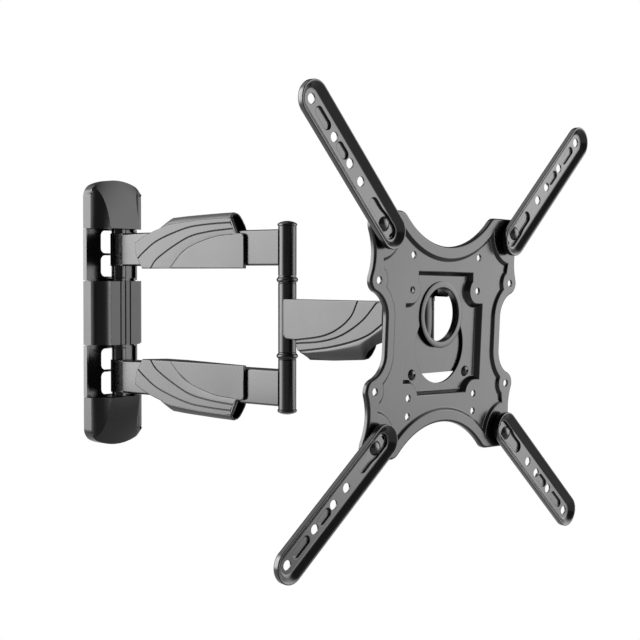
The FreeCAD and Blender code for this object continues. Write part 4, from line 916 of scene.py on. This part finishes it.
# The same powder, baked on small smooth trays: it flows out glossier, so their floors shine brighter.
arm_coat = finish("glossier_black_coat_on_arms", "0d0d0e", 0.0, 0.20, 0.5, 0.7)
screw_spots = []
for side, rise, heading in ((1, 1, 44.5), (-1, 1, 135.5), (1, -1, -39.5), (-1, -1, -140.5)):
    pivot_place = PLATE @ Matrix.Translation((PIVOT.x * side, PIVOT.y * rise, 0))
    screw_spots.append(pivot_place)
    name = ("upper" if rise > 0 else "lower") + ("_right" if side > 0 else "_left") + "_arm"
    tray(pivot_place @ Matrix.Rotation(math.radians(heading), 4, "Z"), name, name)

screw = [(4.0, -6.5), (4.0, 4.7), (6.3, 4.95), (6.8, 5.35)]
screw_ball = (6.8**2 + 3.4**2) / (2 * 3.4)
for k in range(9):
    r = 6.6 * (1 - k / 9)
    screw.append((r, 8.6 - screw_ball + math.sqrt(screw_ball**2 - r * r)))
lathe("domed_pivot_screws", "tv_plate", screw_spots, screw, black_oxide, ["pivot_screws"])
softened("pivot_nuts", 0.25, zinc)
softened("pivot_washers", 0.1, nylon)


# ------------------------------------------------------------------ bar covers
# Moulded ABS shells clipped over the double arm's bars: a flat side with three flowing grooves, and a
# tunnel along one edge that carries the cables to an open mouth. The lower cover mirrors the upper.

SIDE = -14.0          # where a cover's flat side stands, to the left of its arm's middle
BAR_SIDE = -10.4      # where its returned rim meets the bar
WEB = 12.0            # how far across the web under the bar reaches
WEB_RUN = (60, 216)   # and where it starts and ends along the bar
BAR_FOOT = 52.45      # just over the side's lower edge
WALL = 1.6            # the moulding's wall
GROOVE_HALF = 1.0     # half a groove's width
EDGE = 1.3            # radius of the rolled free edges


def offset_row(points, inset):
    """A closed row of points moved inwards (the row runs anticlockwise)."""
    moved = []
    for k, here in enumerate(points):
        before, after = Vector(points[k - 1]), Vector(points[(k + 1) % len(points)])
        one = (Vector(here) - before).normalized()
        two = (after - Vector(here)).normalized()
        side = (Vector((-one.y, one.x)) + Vector((-two.y, two.x))).normalized()
        scale = max(0.5, side.dot(Vector((-one.y, one.x))))
        moved.append(Vector(here) + side * inset / scale)
    return moved


def smooth_row(points, per=8):
    """A curve through these points."""
    rows = [Vector(p) for p in points]
    rows = [2 * rows[0] - rows[1]] + rows + [2 * rows[-1] - rows[-2]]
    curve = []
    for a, b, c, d in zip(rows, rows[1:], rows[2:], rows[3:]):
        for k in range(per):
            t = k / per
            curve.append(0.5 * (2 * b + (c - a) * t + (2 * a - 5 * b + 4 * c - d) * t * t
                                + (3 * b - a - 3 * c + d) * t**3))
    return curve + [rows[-2]]


def row_distance(point, row):
    """How far a point is from a row of points joined up."""
    best = 1e9
    for a, b in zip(row, row[1:]):
        ab = b - a
        t = max(0.0, min(1.0, (point - a).dot(ab) / max(ab.length_squared, 1e-12)))
        best = min(best, (point - a - ab * t).length)
    return best


def side_skin(bm, outline, free_rows, grooves, weld):
    """The flat side with its grooves, its free edges rolled back and returned towards the bar.

    A groove is its depth and then the places it runs through. weld says how far back a rim returns.
    """
    closed = [Vector(p) for p in outline]
    rows = [(offset_row(closed, inset), True) for inset in (0.3, 0.75, EDGE)]
    lines = [smooth_row(g[1:]) for g in grooves]
    for line in lines:
        normals = []
        for k in range(len(line)):
            ahead = (line[min(k + 1, len(line) - 1)] - line[max(k - 1, 0)]).normalized()
            normals.append(Vector((-ahead.y, ahead.x)))
        rows.append((line, False))
        for side in (1, -1):
            rows.append(([p + n * GROOVE_HALF * side for p, n in zip(line, normals)], False))
    points = list(closed)
    edges = []
    for row, is_closed in rows:
        first = len(points)
        points += row
        edges += [(first + k, first + k + 1) for k in range(len(row) - 1)]
        if is_closed:
            edges.append((first + len(row) - 1, first))
    found = delaunay_2d_cdt(points, edges, [list(range(len(closed)))], 1, 1e-4)
    out_points, out_faces = found[0], found[2]
    verts = []
    for p in out_points:
        d = min(row_distance(p, row) for row in free_rows)
        fall = 0.0 if d >= EDGE else EDGE - math.sqrt(max(0.0, EDGE**2 - (EDGE - d) ** 2))
        cut = 0.0
        for groove, line in zip(grooves, lines):
            cut = max(cut, groove[0] * (1 - row_distance(p, line) / GROOVE_HALF))
        verts.append(bm.verts.new((SIDE + max(fall, cut), -p.x, p.y)))
    for face in out_faces:
        bm.faces.new([verts[k] for k in face]).smooth = True
    bm.edges.ensure_lookup_table()
    rims = []
    for e in bm.edges:
        if e.is_boundary:
            middle = (e.verts[0].co + e.verts[1].co) / 2
            if min(row_distance(Vector((-middle.y, middle.z)), row) for row in free_rows) < 0.05:
                rims.append(e)
    made = bmesh.ops.extrude_edge_only(bm, edges=rims)
    for v in made["geom"]:
        if isinstance(v, bmesh.types.BMVert):
            v.co.x = weld(v.co)


def even_row(points, count):
    """Points spaced evenly along a row."""
    rows = [Vector(p) for p in points]
    lengths = [0.0]
    for a, b in zip(rows, rows[1:]):
        lengths.append(lengths[-1] + (b - a).length)
    spaced = []
    for k in range(count):
        want = lengths[-1] * k / (count - 1)
        j = max(i for i in range(len(rows) - 1) if lengths[i] <= want + 1e-9)
        t = (want - lengths[j]) / max(lengths[j + 1] - lengths[j], 1e-9)
        spaced.append(rows[j].lerp(rows[j + 1], min(1.0, t)))
    return spaced


def shell_piece(name, bm, body, node_name, matrix, mirrored=False):
    """Give a drawn cover its wall and hang it on its arm."""
    bmesh.ops.remove_doubles(bm, verts=bm.verts, dist=0.02)
    bmesh.ops.recalc_face_normals(bm, faces=bm.faces)
    if mirrored:
        bm.transform(Matrix.Scale(-1, 4, (0, 0, 1)))
        bmesh.ops.reverse_faces(bm, faces=bm.faces)
    bm.transform(matrix)
    mesh = bpy.data.meshes.new(name)
    bm.to_mesh(mesh)
    bm.free()
    mesh.materials.append(cover)
    piece = bpy.data.objects.new(name, mesh)
    bpy.context.scene.collection.objects.link(piece)
    skin = piece.modifiers.new("wall", "SOLIDIFY")
    skin.thickness = WALL / 1000
    skin.offset = -1
    mesh.set_sharp_from_angle(angle=math.radians(28))
    even = piece.modifiers.new("even", "WEIGHTED_NORMAL")
    even.keep_sharp = True
    even.weight = 100
    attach(piece, body)
    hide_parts(node_name)


def bar_rim(place):
    """The cover's rim returns to the bar's side, and under the bar it runs on as the web."""
    return WEB if place.z < BAR_FOOT and WEB_RUN[0] < -place.y < WEB_RUN[1] else BAR_SIDE


def bar_cover(name, node_name, mirrored):
    """The double arm's cover, tunnel on top. Places are (along, up)."""
    bm = bmesh.new()
    crease = [(43, 82.6), (60, 90.4), (80, 97.0), (103, 102.2), (150, 106), (197.3, 107.4)]
    crease = smooth_row(crease, 6)
    shared = [p for p in crease if p.x >= 84]
    lone = [p for p in crease if p.x < 84] + [shared[0]]
    left = smooth_row([(43, 82.6), (45, 68), (55, 52.3)], 5)
    mouth = ((216.2, 52.3), (216.2, 86.4), (215, 89.4), (212, 90.6), (205.2, 90.6), (197.3, 107.4))
    right = [Vector(p) for p in mouth]
    outline = left + right + crease[::-1][1:-1]
    grooves = [
        (0.9, (46.6, 62.9), (60, 72.5), (83.4, 85.1), (126.9, 97.4), (160, 101.0), (195.8, 102.3)),
        (0.9, (69.2, 52.3), (83.3, 65.3), (126.9, 85.9), (160, 92.6), (199.8, 95.7)),
        (0.5, (100.9, 52.3), (126.8, 73.5), (168.6, 86.3), (199.8, 89.1)),
    ]
    side_skin(bm, outline, [left + right, lone], grooves, bar_rim)
    ridge = smooth_row([(102.5, 109.6), (125, 111), (150, 112), (175, 112.9), (197.3, 113.4)], 6)
    count = 40
    low_row = even_row(shared, count)
    top_row = even_row(ridge, count)
    far_row = even_row([(108, 94.2), (197.3, 94.2)], count)
    # across the tunnel: up from the crease to the ridge, then over and down to the far side
    section = [(SIDE, 0, 0), (-13.6, 0.12, 0), (-12.4, 0.45, 0), (-10.8, 0.8, 0), (-9, 1, 0)]
    section += [(-6, 1, 0.03), (-3, 1, 0.06), (1, 1, 0.2), (5, 1, 0.45), (9, 1, 0.75), (11, 1, 1)]
    rows = []
    for across, rise, fall in section:
        row = []
        for a, b, c in zip(low_row, top_row, far_row):
            p = a.lerp(b, rise) if fall == 0 else b.lerp(c, fall)
            row.append(Vector((across, -p.x, p.y)))
        rows.append(row)
    sheet_between(bm, rows)
    shell_piece(name, bm, "double_arm", node_name, ARM, mirrored)


# Moulded ABS with a light grain: a satin black whose flat sides go evenly bright, crossed by dark grooves.
# The real grain is about 0.1 mm, drawn at 0.35 mm so that it shows.
cover = finish("black_abs_fine_grain", "101010", 0.0, 0.28, 0.35)
bar_cover("upper_bar_shell", "upper_bar_cover", False)
bar_cover("lower_bar_shell", "lower_bar_cover", True)


# ------------------------------------------------------------------ fore arm cover
# The same moulding for the single arm. Its tunnel hangs below the side and opens towards the
# television, where the cables leave it.


def across_rows(section, one, two):
    """Rows of places from one (along, up) row to another, at each (fraction, across) of a section."""
    rows = []
    for t, across in section:
        rows.append([Vector((across, -a.lerp(b, t).x, a.lerp(b, t).y)) for a, b in zip(one, two)])
    return rows


def fore_cover():
    """The fore arm's cover. Places are (along, up)."""
    bm = bmesh.new()
    crease = [(32.8, -34.3), (55, -31.6), (78.3, -28.2), (106.6, -22), (128.7, -14.6), (148.4, -3.0)]
    crease = smooth_row(crease)
    start = ((8, -12), (8.4, -16), (9.0, -19.5), (11.5, -21.4), (24.5, -22), (28.9, -32.9))
    start = [Vector(p) for p in start]
    top = ((148.4, 18.5), (147.6, 20.1), (146.4, 20.5), (8.6, 20.5), (8, 20), (8, -12))
    top = [Vector(p) for p in top]
    outline = start + crease + top[:-1]
    free = [top, start + [crease[0]], [crease[-1], top[0]]]
    grooves = [
        (1.0, (114.8, 20.4), (105.1, 4), (86.8, -8.9), (63.8, -16.9), (26.7, -21.9)),
        (1.0, (139.9, 18.7), (120.3, 0.3), (92.5, -14.8), (63.8, -22.1), (27.5, -25.4)),
        (1.0, (31.5, -33.1), (55, -30.4), (78.3, -27.0), (106.6, -20.8), (128.7, -13.4), (147.0, -2.4)),
    ]
    side_skin(bm, outline, free, grooves, lambda place: BAR_SIDE)
    low = [(34.3, -37), (43.2, -42.2), (78, -41.4), (119, -38.7)]
    mouth = [(124.7, -29.9), (134, -23.5), (148.4, -18.9)]
    count = 48
    flank = [(0, SIDE), (0.25, -13.5), (0.6, -12), (1, -9)]
    sheet_between(bm, across_rows(flank, even_row(crease, count), even_row(low + mouth, count)))
    belly = [(0, -9), (0.02, -6), (0.05, -2), (0.25, 3), (0.6, 8), (1, 11)]
    foot = even_row([(36, -20.5), (119, -20.5)], 20)
    sheet_between(bm, across_rows(belly, even_row(low, 20), foot))
    shell_piece("fore_arm_shell", bm, "fore_arm", "fore_arm_cover", FORE)


fore_cover()
